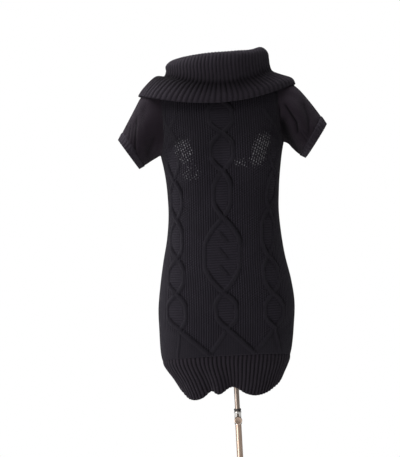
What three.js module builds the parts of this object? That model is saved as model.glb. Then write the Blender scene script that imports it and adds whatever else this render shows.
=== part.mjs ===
// A short-sleeved, cable-knit sweater dress with a folded cowl collar, worn by a limbless dress form on a
// telescopic stand. Lengths are in millimetres. +Z is up, the front faces -Y, and the origin is the centre of
// the base's underside, on the floor.
import * as THREE from "three";

// Driving sizes
const SEAM = 0.3; // gap between two pieces where they are sewn together
const CLOTH = 2.5; // thickness of the plain knit wall
const RIBBED_CLOTH = 3; // thickness of the ribbed walls, without their ribs
const FULLNESS = 2.25; // exponent of the torso's sections: 2 is an ellipse, more is squarer
const TURN = Math.PI * 2;
const QUARTER = Math.PI / 2;

// The dress's outer surface at each height: distances from the pole's axis to its left, right, front and back
const TORSO = [
  { z: 620, left: 130, right: 92, front: 84, back: 86 },
  { z: 640, left: 138, right: 103, front: 86, back: 88 },
  { z: 660, left: 149, right: 115, front: 89, back: 92 },
  { z: 680, left: 161, right: 125, front: 92, back: 96 },
  { z: 700, left: 175, right: 135, front: 96, back: 100 },
  { z: 720, left: 186, right: 143, front: 100, back: 104 },
  { z: 745, left: 191, right: 150, front: 104, back: 108 },
  { z: 800, left: 192, right: 158, front: 108, back: 116 },
  { z: 860, left: 191, right: 163, front: 110, back: 120 },
  { z: 920, left: 183, right: 157, front: 108, back: 119 },
  { z: 980, left: 172, right: 145, front: 103, back: 110 },
  { z: 1040, left: 159, right: 138, front: 98, back: 98 },
  { z: 1100, left: 152, right: 135, front: 95, back: 89 },
  { z: 1160, left: 152, right: 139, front: 98, back: 89 },
  { z: 1210, left: 156, right: 145, front: 105, back: 92 },
  { z: 1256, left: 164, right: 153, front: 107, back: 95 },
  { z: 1300, left: 173, right: 164, front: 102, back: 94 },
  { z: 1350, left: 184, right: 174, front: 92, back: 89 },
  { z: 1385, left: 190, right: 181, front: 82, back: 83 },
  { z: 1400, left: 190, right: 181, front: 77, back: 80 },
  { z: 1430, left: 178, right: 170, front: 64, back: 70 },
  { z: 1447, left: 160, right: 152, front: 54, back: 60 },
  { z: 1456, left: 116, right: 106, front: 46, back: 52 },
];
const BUST = { apart: 88, z: 1240, reach: 15, clothWidth: 60, formWidth: 44, height: 56 };

// The heights of a body panel's edges: along its hem seam, at the armpits, at the shoulder points and
// along the neckline, on the centre line and at each side
const PANEL = {
  hem: { centre: 738, left: 722, right: 722 },
  armpit: { centre: 1250, left: 1256, right: 1275 },
  shoulder: { left: 1447, right: 1447 },
  neck: { left: 1456, right: 1456 },
  frontCentre: { shoulder: 1384, neck: 1402 },
  backCentre: { shoulder: 1420, neck: 1438 },
  armholeBend: 1.35, // more lets the armhole's rows lie closer together near the armpit
};
const PANEL_ROWS = { frontOuter: 41, frontInner: 10, back: 10, shoulder: 2 };
const ARMHOLE_ROWS = { front: 13, back: 8 };
const LENGTH_SAMPLES = 120; // for lengths measured across a panel
// How far in the armhole's edge lies, as a share of the torso's half width, from the armpit up
const ARMHOLE = [
  { rise: 0, share: 1 },
  { rise: 0.03, share: 0.965 },
  { rise: 0.1, share: 0.925 },
  { rise: 0.25, share: 0.875 },
  { rise: 0.5, share: 0.82 },
  { rise: 0.75, share: 0.81 },
  { rise: 0.9, share: 0.87 },
  { rise: 1, share: 1 },
];

// A cable's strands: their height, how much higher the upper strand is at a crossing, their half width with
// their feet, how close they come, how far apart the cables are, and how a loop opens from its crossing
const CABLE = {
  height: 3.4, over: 0.9, halfWidth: 8, closest: 1.6, spacing: 130, ramp: 0.82, corner: 1.8,
};
const GROUND_COLUMNS = 3; // between the cables
// Where the front's raised stitches end below the neckline, in rows
const RELIEF_END = { row: 2.9, fade: 0.4 };
// The front's left, middle and right cables. Each row is a crossing of the cable's two strands: its height z,
// and its distance s along the cloth from the front's centre line. In the loop below it, swing is how far out
// each strand lies, and bow is how far right the loop's middle is.
const CABLES = [
  [
    { z: 1416, s: -129, swing: 17, bow: 1 },
    { z: 1316, s: -140, swing: 24, bow: -2 },
    { z: 1188, s: -139, swing: 20, bow: 2 },
    { z: 1087, s: -132, swing: 21, bow: -5 },
    { z: 987, s: -127, swing: 24, bow: -5 },
    { z: 898, s: -133, swing: 28, bow: -7 },
    { z: 808, s: -125, swing: 0, bow: 0 },
  ],
  [
    { z: 1388, s: -4, swing: 30, bow: 1 },
    { z: 1300, s: 0, swing: 28, bow: -1 },
    { z: 1205, s: -2, swing: 22, bow: -2 },
    { z: 1087, s: -4, swing: 44, bow: 0 },
    { z: 898, s: -10, swing: 26, bow: 2 },
    { z: 807, s: 0, swing: 0, bow: 0 },
  ],
  [
    { z: 1424, s: 127, swing: 20, bow: 2 },
    { z: 1324, s: 135, swing: 20, bow: 8 },
    { z: 1204, s: 141, swing: 18, bow: 4 },
    { z: 1106, s: 120, swing: 20, bow: -1 },
    { z: 983, s: 114, swing: 22, bow: 3 },
    { z: 888, s: 120, swing: 26, bow: 1 },
    { z: 802, s: 124, swing: 0, bow: 0 },
  ],
];
// Where the two strands of each cable end, above the hem rib
const LATTICE = { foot: 745, ends: [[-130, -54], [-38, 60], [76, 140]] };
// Slanting strands one above the other inside the large middle loop
const BRAID = { top: 1060, bottom: 932, crossings: 3, swing: 11, foot: 6, height: 2 };

// Ribbed hem: its lower edge's height and how far it stands out, by the angle from the front to the right
const HEM_RIBS = 40; // on each of the front and the back
const HEM_RIB_HEIGHT = 2.4;
const HEM_DROPS = [1, 0.62, 0.25, 0]; // its rows, from the loose edge up to the seam
const HEM_SWING = 1.5; // exponent: more keeps the band's upper part closer to the body
const HEM_EDGE = [
  { angle: -90, z: 652, out: 0 },
  { angle: -75, z: 646, out: 2 },
  { angle: -62, z: 631, out: 4 },
  { angle: -46, z: 626, out: 7 },
  { angle: -34, z: 631, out: 2 },
  { angle: -21, z: 648, out: -9 },
  { angle: -11, z: 640, out: 3 },
  { angle: 2, z: 656, out: -14 },
  { angle: 17, z: 638, out: 0 },
  { angle: 29, z: 632, out: 7 },
  { angle: 48, z: 637, out: 4 },
  { angle: 60, z: 646, out: 2 },
  { angle: 71, z: 654, out: 1 },
  { angle: 90, z: 669, out: 0 },
  { angle: 112, z: 655, out: 5 },
  { angle: 131, z: 641, out: 7 },
  { angle: 150, z: 658, out: -10 },
  { angle: 174, z: 637, out: 8 },
  { angle: 198, z: 655, out: -11 },
  { angle: 226, z: 636, out: 7 },
  { angle: 248, z: 645, out: 3 },
  { angle: 270, z: 652, out: 0 },
];

// The collar's outer face, from its loose lower edge up, over the fold and down inside to the neckline seam:
// its distances from the pole's axis, and its heights there
const COLLAR_RIBS = 80;
const COLLAR_RIB_HEIGHT = 2.2;
const COLLAR_REACH = [
  { along: 0, left: 213, right: 195, front: 96, back: 100 },
  { along: 0.1, left: 198, right: 186, front: 97, back: 99 },
  { along: 0.2, left: 166, right: 157, front: 95, back: 96 },
  { along: 0.28, left: 144, right: 137, front: 92, back: 92 },
  { along: 0.38, left: 136, right: 130, front: 103, back: 98 },
  { along: 0.5, left: 136, right: 128, front: 108, back: 101 },
  { along: 0.59, left: 128, right: 126, front: 104, back: 98 },
  { along: 0.65, left: 117, right: 115, front: 94, back: 88 },
  { along: 0.72, left: 108, right: 105, front: 84, back: 79 },
  { along: 0.86, left: 105, right: 99, front: 77, back: 70 },
];
const COLLAR_HEIGHT = [
  { along: 0, left: 1413, right: 1423, front: 1384, back: 1398 },
  { along: 0.1, left: 1433, right: 1438, front: 1398, back: 1413 },
  { along: 0.2, left: 1460, right: 1449, front: 1417, back: 1431 },
  { along: 0.28, left: 1459, right: 1458, front: 1429, back: 1442 },
  { along: 0.38, left: 1472, right: 1472, front: 1446, back: 1459 },
  { along: 0.5, left: 1485, right: 1491, front: 1474, back: 1483 },
  { along: 0.59, left: 1494, right: 1506, front: 1495, back: 1500 },
  { along: 0.65, left: 1498, right: 1511, front: 1504, back: 1508 },
  { along: 0.72, left: 1490, right: 1500, front: 1494, back: 1498 },
  { along: 0.86, left: 1472, right: 1474, front: 1452, back: 1470 },
];
const COLLAR_PUFF = { angle: 68, width: 17, along: 0.64, length: 0.07, height: 7 }; // at its top right

// Sleeves, from the armhole out: the top and under lines seen from the front, and the depth to each side
const CUFF_FROM = 0.8;
const SLEEVE_ROWS = [0, 0.14, 0.3, 0.47, 0.63, CUFF_FROM];
const CUFF_ROWS = [CUFF_FROM + SEAM / 30, 0.9, 1];
const SLEEVE_HOLD = { length: 0.42, power: 1.6 }; // how far the armhole's seam shapes the sleeve
const SLEEVE_LEFT = [
  { along: 0, topX: -166, topZ: 1447, underX: -170, underZ: 1257, front: 58, back: 58 },
  { along: 0.25, topX: -197, topZ: 1424, underX: -179, underZ: 1250, front: 66, back: 64 },
  { along: 0.5, topX: -222, topZ: 1386, underX: -190, underZ: 1243, front: 67, back: 62 },
  { along: 0.8, topX: -259, topZ: 1323, underX: -206, underZ: 1234, front: 63, back: 58 },
  { along: 1, topX: -271, topZ: 1302, underX: -222, underZ: 1226, front: 60, back: 55 },
];
const SLEEVE_RIGHT = [
  { along: 0, topX: 157, topZ: 1447, underX: 160, underZ: 1276, front: 58, back: 58 },
  { along: 0.25, topX: 187, topZ: 1426, underX: 170, underZ: 1270, front: 66, back: 64 },
  { along: 0.5, topX: 217, topZ: 1393, underX: 181, underZ: 1256, front: 67, back: 62 },
  { along: 0.8, topX: 256, topZ: 1338, underX: 197, underZ: 1241, front: 63, back: 58 },
  { along: 1, topX: 270, topZ: 1315, underX: 213, underZ: 1232, front: 60, back: 55 },
];
// The sleeves' largest folds: angle from the underarm round the front, its drift to the cuff, and depth
const SLEEVE_FOLDS = {
  left: [{ angle: 118, drift: 8, width: 13, depth: -5 }],
  right: [
    { angle: 92, drift: -34, width: 12, depth: -8 },
    { angle: 136, drift: -30, width: 12, depth: -7 },
  ],
};
const CUFF_RIBS = 30;
const CUFF_RIB_HEIGHT = 1.8;

// Dress form: how far it stays inside the dress up to the armpits, and its own sections from there up
const FORM_EASE = [
  { z: 742, ease: 5 },
  { z: 800, ease: 2 },
  { z: 860, ease: 1.5 },
  { z: 900, ease: 1.5 },
  { z: 980, ease: 4 },
  { z: 1040, ease: 9 },
  { z: 1100, ease: 13 },
  { z: 1160, ease: 9 },
  { z: 1205, ease: 3 },
  { z: 1240, ease: 1.5 },
  { z: 1256, ease: 2 },
];
const FORM_TOP = [
  { z: 1300, left: 161, right: 152, front: 93, back: 86 },
  { z: 1350, left: 172, right: 162, front: 82, back: 80 },
  { z: 1390, left: 178, right: 168, front: 71, back: 73 },
  { z: 1412, left: 172, right: 162, front: 61, back: 66 },
  { z: 1428, left: 152, right: 142, front: 55, back: 60 },
  { z: 1440, left: 115, right: 105, front: 51, back: 56 },
  { z: 1448, left: 84, right: 74, front: 50, back: 54 },
  { z: 1460, left: 66, right: 56, front: 49, back: 52 },
  { z: 1476, left: 61, right: 51, front: 47, back: 50 },
  { z: 1484, left: 55, right: 45, front: 41, back: 44 },
];
const FORM_BOTTOM = 742;
const FORM_FOOT = 0.965; // how much smaller its lowest ring is
const FORM_COLUMNS = 32;
const FORM_HEIGHTS = [
  FORM_BOTTOM, 752, 800, 860, 900, 940, 980, 1040, 1100, 1160, 1205, 1240, 1270, 1300, 1345, 1390, 1412,
  1428, 1440, 1448, 1460, 1476, 1484,
];
const PANEL_COLUMNS = FORM_COLUMNS / 2; // so that the panels' plain faces run beside the form's

// Stand
const BASE = {
  radius: 170, rim: 4, thickness: 9, flare: 27, flareTop: 13, bossRadius: 19, bossFoot: 18, bossEnd: 15,
  bossTop: 46,
};
const UPPER_TUBE = { radius: 6.5, bore: 5.3, bottom: 340, top: FORM_BOTTOM - SEAM };
const LOWER_TUBE = { radius: 8, bore: 6.9, bottom: BASE.thickness + SEAM, top: 572 };
const CLAMP = { radius: 9.4, bottom: 549, top: 583, bore: 6.9, recess: 8.3 };
const GRIP_RING = { radius: 9.2, bore: 6.8, bottom: 584, top: 589 };
const KNOB = { radius: 10.5, thickness: 7, bevel: 1.5, z: 561, stem: 3, hub: 5, gap: 9, grooves: 18 };
const FLANGE = { radius: 34, thickness: 5, boss: 12, depth: 34 }; // under the form, round the upper tube
const ROUND_SIDES = 20;
const BASE_SIDES = 40;

// Colours, roughness and metalness, as in the photograph
const finish = (color, roughness, metalness = 0) => (
  new THREE.MeshStandardMaterial({ color, roughness, metalness })
);
const KNIT = finish(0x2b2a30, 0.95);
const RIB_KNIT = finish(0x26252a, 0.95);
const FORM_COVER = finish(0xe9e4da, 0.85);
const BRASSY_STEEL = finish(0xc9ab94, 0.28, 1);
const CHROME = finish(0xcfcdca, 0.15, 1);
const RUBBER = finish(0x17171a, 0.8);
const BASE_PAINT = finish(0xd8d5d0, 0.4, 0.2);

const radians = (degrees) => (degrees * TURN) / 360;
const mix = (a, b, share) => a + (b - a) * share;
const bell = (distance, width) => Math.exp(-((distance / width) ** 2));
const limit = (value, low, high) => Math.min(Math.max(value, low), high);
const steps = (from, to, count) => Array.from({ length: count + 1 }, (_, i) => mix(from, to, i / count));

// A smooth curve through one column of a table, looked up by another column
function lookUp(rows, by, column, value) {
  const last = rows.length - 1;
  const [first, final] = [rows[0][by], rows[last][by]];
  const rising = final > first;
  const x = rising ? limit(value, first, final) : limit(value, final, first);
  let i = 0;
  while (i < last - 1 && (rising ? x > rows[i + 1][by] : x < rows[i + 1][by])) i += 1;
  const slope = (k) => {
    const a = rows[Math.max(k - 1, 0)];
    const b = rows[Math.min(k + 1, last)];
    return (b[column] - a[column]) / (b[by] - a[by]);
  };
  const span = rows[i + 1][by] - rows[i][by];
  const t = (x - rows[i][by]) / span;
  const [p, q] = [rows[i][column], rows[i + 1][column]];
  const [m, n] = [slope(i) * span, slope(i + 1) * span];
  const left = p * (1 + 2 * t) + m * t;
  const right = q * (3 - 2 * t) + n * (t - 1);
  return left * (1 - t) ** 2 + right * t ** 2;
}

// Closed walls between an outer and an inner grid of points. Rows run up and columns run anticlockwise seen
// from above. The two grids may differ in rows and columns, and their edges are joined by narrow rims.
function wall(outer, inner, around) {
  const points = [];
  const faces = [];
  const number = (grid) => grid.map((row) => row.map((p) => points.push(p) - 1));
  const [out, back] = [number(outer), number(inner)];
  const close = (line) => (around ? [...line, line[0]] : line);
  const skin = (grid, flip) => {
    for (let i = 0; i + 1 < grid.length; i += 1) {
      const [low, high] = [close(grid[i]), close(grid[i + 1])];
      for (let j = 0; j + 1 < low.length; j += 1) {
        const [a, b, c, d] = [low[j], low[j + 1], high[j + 1], high[j]];
        if (flip) faces.push([a, d, c], [a, c, b]);
        else faces.push([a, b, c], [a, c, d]);
      }
    }
  };
  // How far along its line each point lies, as a share
  const shares = (line) => {
    const far = [0];
    for (let i = 1; i < line.length; i += 1) {
      far.push(far[i - 1] + points[line[i]].distanceTo(points[line[i - 1]]));
    }
    return far.map((length) => length / far[far.length - 1]);
  };
  const rim = (outLine, inLine) => {
    let [i, j] = [0, 0];
    const [n, m] = [outLine.length - 1, inLine.length - 1];
    const [outAt, inAt] = [shares(outLine), shares(inLine)];
    while (i < n || j < m) {
      if (j === m || (i < n && outAt[i + 1] <= inAt[j + 1])) {
        faces.push([outLine[i + 1], outLine[i], inLine[j]]);
        i += 1;
      } else {
        faces.push([inLine[j], inLine[j + 1], outLine[i]]);
        j += 1;
      }
    }
  };
  const top = (grid) => [...close(grid[grid.length - 1])].reverse();
  skin(out, false);
  skin(back, true);
  rim(close(out[0]), close(back[0]));
  rim(top(out), top(back));
  if (!around) {
    rim(out.map((row) => row[row.length - 1]), back.map((row) => row[row.length - 1]));
    rim(out.map((row) => row[0]).reverse(), back.map((row) => row[0]).reverse());
  }
  const geometry = new THREE.BufferGeometry().setFromPoints(points);
  geometry.setIndex(faces.flat());
  geometry.computeVertexNormals();
  return geometry;
}

// A closed body from a stack of rings, each ending in a flat face
function stack(rings) {
  const faces = [];
  const points = rings.flat();
  const n = rings[0].length;
  for (let i = 0; i + 1 < rings.length; i += 1) {
    for (let j = 0; j < n; j += 1) {
      const [a, b] = [i * n + j, i * n + ((j + 1) % n)];
      faces.push([a, b, b + n], [a, b + n, a + n]);
    }
  }
  const end = points.length - n;
  for (let j = 1; j + 1 < n; j += 1) faces.push([0, j + 1, j], [end, end + j, end + j + 1]);
  const geometry = new THREE.BufferGeometry().setFromPoints(points);
  geometry.setIndex(faces.flat());
  geometry.computeVertexNormals();
  return geometry;
}

// The direction out of a surface given as a function of two numbers
function outward(surface, u, v, du, dv) {
  const across = surface(u + du, v).sub(surface(u - du, v));
  const up = surface(u, v + dv).sub(surface(u, v - dv));
  return across.cross(up).normalize();
}

// The dress's torso at a height: half width, centre, and the depth of its front or back
const halfWidth = (z) => (lookUp(TORSO, "z", "left", z) + lookUp(TORSO, "z", "right", z)) / 2;
const centreX = (z) => (lookUp(TORSO, "z", "right", z) - lookUp(TORSO, "z", "left", z)) / 2;
const bust = (x, z, width) => (
  BUST.reach * bell(Math.abs(x) - BUST.apart, width) * bell(z - BUST.z, BUST.height)
);

// The point of the torso's surface at a distance from its centre line, on the front (-1) or the back (1)
function torsoAt(x, z, facing) {
  const share = Math.min(Math.abs(x) / halfWidth(z), 1);
  const section = (1 - share ** FULLNESS) ** (1 / FULLNESS);
  const depth = lookUp(TORSO, "z", facing < 0 ? "front" : "back", z) * section;
  const bustOut = facing < 0 ? bust(x, z, BUST.clothWidth) * Math.sqrt(1 - share ** 4) : 0;
  return new THREE.Vector3(centreX(z) + x, facing * (depth + bustOut), z);
}

// The heights of a panel's row at its centre line and its two edges. Rows 0 to 1 lead from the hem seam to
// the armpits, 1 to 2 up the armholes to the shoulder points, and 2 to 3 along the shoulders to the neck.
function rowHeights(row, facing) {
  const { hem, armpit, shoulder, neck } = PANEL;
  const centre = facing < 0 ? PANEL.frontCentre : PANEL.backCentre;
  if (row <= 1) {
    const at = (key) => mix(hem[key] + SEAM / 2, armpit[key], row);
    return { centre: at("centre"), left: at("left"), right: at("right") };
  }
  if (row <= 2) {
    const rise = (row - 1) ** PANEL.armholeBend;
    const at = (key) => mix(armpit[key], shoulder[key], rise);
    return { centre: mix(armpit.centre, centre.shoulder, row - 1), left: at("left"), right: at("right") };
  }
  const at = (key) => mix(shoulder[key], neck[key], row - 2);
  return { centre: mix(centre.shoulder, centre.neck, row - 2), left: at("left"), right: at("right") };
}

// How far from the torso's centre line a row's edge lies
function edgeX(z, side) {
  const [low, high] = [PANEL.armpit[side], PANEL.shoulder[side]];
  if (z <= low || z >= high) return halfWidth(z);
  return halfWidth(z) * lookUp(ARMHOLE, "rise", "share", (z - low) / (high - low));
}

// A panel's plain surface: across is -1 at its left edge and 1 at its right edge, as seen from the front
function panelAt(across, row, facing) {
  const side = across < 0 ? "left" : "right";
  const heights = rowHeights(row, facing);
  const q = Math.min(Math.abs(across), 1);
  const z = mix(heights.centre, heights[side], q * q);
  const x = edgeX(heights[side], side) * Math.sin(QUARTER * q) ** (2 / FULLNESS);
  const point = torsoAt(Math.sign(across) * x, z, facing);
  point.y += (facing * SEAM) / 2;
  return point;
}

const NUDGE = 0.004; // the step to a neighbouring point that shows which way the surface faces
function panelOut(across, row, facing) {
  const [q, r] = [limit(across, NUDGE - 1, 1 - NUDGE), limit(row, NUDGE, 3 - NUDGE)];
  return outward((u, v) => panelAt(u, v, facing), q, r, NUDGE, NUDGE).multiplyScalar(-facing);
}

// Where a row's points lie by their distance along the cloth from the centre line
function rowByLength(row, facing) {
  const samples = steps(-1, 1, LENGTH_SAMPLES);
  const points = samples.map((q) => panelAt(q, row, facing));
  const lengths = [0];
  for (let i = 1; i < points.length; i += 1) {
    lengths.push(lengths[i - 1] + points[i].distanceTo(points[i - 1]));
  }
  const middle = lengths[LENGTH_SAMPLES / 2];
  return samples.map((q, i) => ({ q, s: lengths[i] - middle, z: points[i].z }));
}

const between = (table, from, to, value) => {
  let i = 0;
  while (i < table.length - 2 && table[i + 1][from] < value) i += 1;
  const [a, b] = [table[i], table[i + 1]];
  return mix(a[to], b[to], limit((value - a[from]) / (b[from] - a[from]), 0, 1));
};

// A cable's two strands at a height, as distances along the cloth from the centre line
function strands(cable, z) {
  const rows = CABLES[cable];
  const last = rows[rows.length - 1];
  if (z < last.z) {
    const spread = Math.min((last.z - z) / (last.z - LATTICE.foot), 1);
    const [low, high] = LATTICE.ends[cable].map((end) => mix(last.s, end, spread));
    const open = Math.max(CABLE.closest - (high - low) / 2, 0);
    return [low - open, high + open];
  }
  let i = 0;
  while (i < rows.length - 2 && z < rows[i + 1].z) i += 1;
  const share = Math.max(0, (rows[i].z - z) / (rows[i].z - rows[i + 1].z));
  const middle = mix(rows[i].s, rows[i + 1].s, share) + rows[i].bow * Math.sin(Math.PI * share);
  const near = 1 - Math.abs(2 * share - 1);
  const open = rows[i].swing * (1 - Math.max(0, 1 - near / CABLE.ramp) ** CABLE.corner);
  const reach = Math.max(open, CABLE.closest);
  return [middle - reach, middle + reach];
}

// The columns of the front's outer face in one row: they follow the cables' strands, so that each strand is a
// raised ridge with a foot on both sides.
function frontColumns(row) {
  const table = rowByLength(row, -1);
  const zAt = (s) => between(table, "s", "z", s);
  const columns = [{ s: table[0].s, raise: 0 }];
  const fill = (to, count) => {
    const from = columns[columns.length - 1].s;
    for (let i = 1; i <= count; i += 1) columns.push({ s: mix(from, to, i / (count + 1)), raise: 0 });
  };
  for (const cable of [0, 1, 2]) {
    const z = zAt((cable - 1) * CABLE.spacing);
    const [low, high] = strands(cable, z);
    const foot = Math.min(CABLE.halfWidth, (high - low) / 3);
    const crest = (way) => CABLE.height + CABLE.over * way * bell(high - low, 3 * CABLE.halfWidth);
    fill(low - CABLE.halfWidth, GROUND_COLUMNS);
    columns.push({ s: low - CABLE.halfWidth, raise: 0 }, { s: low, raise: crest(1) });
    columns.push({ s: low + foot, raise: 0 });
    const middle = (low + high) / 2;
    if (cable === 1) {
      const inside = z < BRAID.top && z > BRAID.bottom;
      const turn = inside ? (BRAID.crossings * (z - BRAID.bottom)) / (BRAID.top - BRAID.bottom) : 0.5;
      const share = turn - Math.floor(turn);
      const ridge = middle + BRAID.swing * (1 - 2 * share);
      const beside = inside ? BRAID.foot : foot / 2;
      const raise = inside ? BRAID.height * Math.sqrt(Math.sin(Math.PI * share)) : 0;
      columns.push({ s: ridge - beside, raise: 0 }, { s: ridge, raise }, { s: ridge + beside, raise: 0 });
    } else columns.push({ s: middle, raise: 0 });
    columns.push({ s: high - foot, raise: 0 }, { s: high, raise: crest(-1) });
    columns.push({ s: high + CABLE.halfWidth, raise: 0 });
  }
  fill(table[table.length - 1].s, GROUND_COLUMNS);
  columns.push({ s: table[table.length - 1].s, raise: 0 });
  return columns.map(({ s, raise }) => ({ across: between(table, "s", "q", s), raise }));
}

function panelRows(below, armhole) {
  const beside = steps(1, 2, armhole).slice(1);
  const above = steps(2, 3, PANEL_ROWS.shoulder).slice(1);
  return [...steps(0, 1, below), ...beside, ...above];
}

const raised = (point, out, distance) => point.addScaledVector(out, distance);
function plainRow(row, facing, depth) {
  const acrosses = steps(-1, 1, PANEL_COLUMNS);
  const points = acrosses.map((q) => raised(panelAt(q, row, facing), panelOut(q, row, facing), depth));
  return facing < 0 ? points : points.reverse();
}

function front() {
  const rows = panelRows(PANEL_ROWS.frontOuter, ARMHOLE_ROWS.front);
  const outer = rows.map((row) => {
    const fade = limit((RELIEF_END.row - row) / RELIEF_END.fade, 0, 1);
    return frontColumns(row).map(({ across, raise }) => (
      raised(panelAt(across, row, -1), panelOut(across, row, -1), raise * fade)
    ));
  });
  const innerRows = panelRows(PANEL_ROWS.frontInner, ARMHOLE_ROWS.front);
  return wall(outer, innerRows.map((row) => plainRow(row, -1, -CLOTH)), false);
}

function back() {
  const rows = panelRows(PANEL_ROWS.back, ARMHOLE_ROWS.back);
  return wall(rows.map((row) => plainRow(row, 1, 0)), rows.map((row) => plainRow(row, 1, -CLOTH)), false);
}

// Ribbed hem band, on the front (-1) or the back (1): drop is 0 at the seam and 1 at the loose edge
function hemAt(angle, drop, facing) {
  const q = facing < 0 ? angle / 90 : (180 - angle) / 90;
  const top = mix(PANEL.hem.centre, PANEL.hem.left, q * q) - SEAM * 2.7;
  const z = mix(top, lookUp(HEM_EDGE, "angle", "z", angle), drop);
  const share = Math.sign(q) * Math.sin(QUARTER * Math.min(Math.abs(q), 1)) ** (2 / FULLNESS);
  const point = torsoAt(share * halfWidth(z), z, facing);
  const out = new THREE.Vector3(Math.sin(radians(angle)), -Math.cos(radians(angle)), 0);
  point.addScaledVector(out, lookUp(HEM_EDGE, "angle", "out", angle) * drop ** HEM_SWING);
  point.y += (facing * SEAM) / 2;
  return point;
}

function hem(facing) {
  const [from, to] = facing < 0 ? [-90, 90] : [90, 270];
  const surface = (angle, drop) => hemAt(angle, drop, facing);
  const [turn, step] = [0.2, 0.02];
  const out = (angle, drop) => outward(
    surface, limit(angle, from + turn, to - turn), limit(drop, step, 1 - step), turn, -step,
  );
  const at = (angle, drop, raise) => raised(hemAt(angle, drop, facing), out(angle, drop), raise);
  // Columns lie at equal distances along the cloth, so that the ribs are evenly wide
  const samples = steps(from, to, 180).map((angle) => ({ angle, point: hemAt(angle, 0.3, facing), s: 0 }));
  samples.forEach((sample, i) => {
    if (i) sample.s = samples[i - 1].s + sample.point.distanceTo(samples[i - 1].point);
  });
  const whole = samples[samples.length - 1].s;
  const angles = (count) => steps(0, whole, count).map((s) => between(samples, "s", "angle", s));
  const ribs = angles(HEM_RIBS * 2);
  const outer = HEM_DROPS.map((drop) => ribs.map((angle, i) => {
    const ends = i === 0 || i === ribs.length - 1;
    return at(angle, drop, i % 2 && !ends ? HEM_RIB_HEIGHT * Math.min(1, 0.35 + 2 * drop) : 0);
  }));
  const inner = HEM_DROPS.map((drop) => angles(HEM_RIBS / 2).map((angle) => at(angle, drop, -RIBBED_CLOTH)));
  return wall(outer, inner, false);
}

// A sleeve's plain surface. Around runs from the underarm (0) over the front, the top (180) and the back to
// 360, for the right sleeve; the left one is its mirror image in that order.
function sleeveRing(table, around, along) {
  const at = (column) => lookUp(table, "along", column, along);
  const [c, s] = [Math.cos(radians(around)), Math.sin(radians(around))];
  const depth = s > 0 ? at("front") : at("back");
  return new THREE.Vector3(
    mix(at("topX"), at("underX"), (1 + c) / 2), -depth * s, mix(at("topZ"), at("underZ"), (1 + c) / 2),
  );
}

// The armhole's seam: the panels' edge points, moved off the panels by the seam's gap
function armholeSeam(side) {
  const edge = side === "left" ? -1 : 1;
  const line = (facing, count) => steps(1, 2, count).map((row) => {
    const outer = panelAt(edge, row, facing);
    const out = panelOut(edge, row, facing);
    const [r0, r1] = [Math.max(1, row - 0.02), Math.min(2, row + 0.02)];
    const along = panelAt(edge, r1, facing).sub(panelAt(edge, r0, facing)).normalize();
    const away = along.cross(out).normalize();
    if (away.x * edge < 0) away.negate();
    outer.addScaledVector(away, SEAM * 2);
    return { outer, inner: outer.clone().addScaledVector(out, -CLOTH) };
  });
  const forward = line(-1, ARMHOLE_ROWS.front);
  const behind = line(1, ARMHOLE_ROWS.back).reverse();
  const join = (a, b) => ({
    outer: a.outer.clone().add(b.outer).multiplyScalar(0.5),
    inner: a.inner.clone().add(b.inner).multiplyScalar(0.5),
  });
  const loop = [...forward, ...behind.slice(1)];
  loop[ARMHOLE_ROWS.front] = join(forward[ARMHOLE_ROWS.front], behind[0]);
  loop[0] = join(forward[0], behind[behind.length - 1]);
  loop.pop();
  return loop;
}

function sleeve(side) {
  const table = side === "left" ? SLEEVE_LEFT : SLEEVE_RIGHT;
  const seam = armholeSeam(side);
  const arounds = seam.map((_, i) => (
    i <= ARMHOLE_ROWS.front ? (180 * i) / ARMHOLE_ROWS.front
      : 180 + (180 * (i - ARMHOLE_ROWS.front)) / ARMHOLE_ROWS.back
  ));
  const fold = (around, along) => {
    const swell = Math.sin(Math.PI * Math.min(1, along / CUFF_FROM));
    return SLEEVE_FOLDS[side].reduce((sum, { angle, drift, width, depth }) => (
      sum + depth * bell(around - angle - drift * along, width) * swell
    ), 0);
  };
  const turn = side === "left" ? 1 : -1;
  const surface = (around, along) => sleeveRing(table, around, along);
  const outOf = (around, along) => outward(surface, around, along, 1, 0.01).multiplyScalar(turn);
  const ring = (along, depth) => seam.map(({ outer, inner }, i) => {
    const start = (depth < 0 ? inner : outer).clone();
    const free = surface(arounds[i], along).addScaledVector(
      outOf(arounds[i], along), depth + fold(arounds[i], along),
    );
    const hold = Math.max(0, 1 - along / SLEEVE_HOLD.length) ** SLEEVE_HOLD.power;
    return free.lerp(start, hold);
  });
  const order = (points) => (side === "left" ? points : [points[0], ...points.slice(1).reverse()]);
  const rows = (depth) => SLEEVE_ROWS.map((along) => order(ring(along, depth)));
  return wall(rows(0), rows(-CLOTH), true);
}

function cuff(side) {
  const table = side === "left" ? SLEEVE_LEFT : SLEEVE_RIGHT;
  const turn = side === "left" ? 1 : -1;
  const surface = (around, along) => sleeveRing(table, around, along);
  const at = (around, along, raise) => raised(
    surface(around, along), outward(surface, around, along, 1, 0.01).multiplyScalar(turn), raise,
  );
  const arounds = (count) => Array.from({ length: count }, (_, i) => (turn * 360 * i) / count);
  const rib = (i) => (i % 2 ? CUFF_RIB_HEIGHT : 0);
  const outer = CUFF_ROWS.map((along) => arounds(CUFF_RIBS * 2).map((a, i) => at(a, along, rib(i))));
  const inner = CUFF_ROWS.map((along) => arounds(CUFF_RIBS).map((a) => at(a, along, -CLOTH)));
  return wall(outer, inner, true);
}

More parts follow.
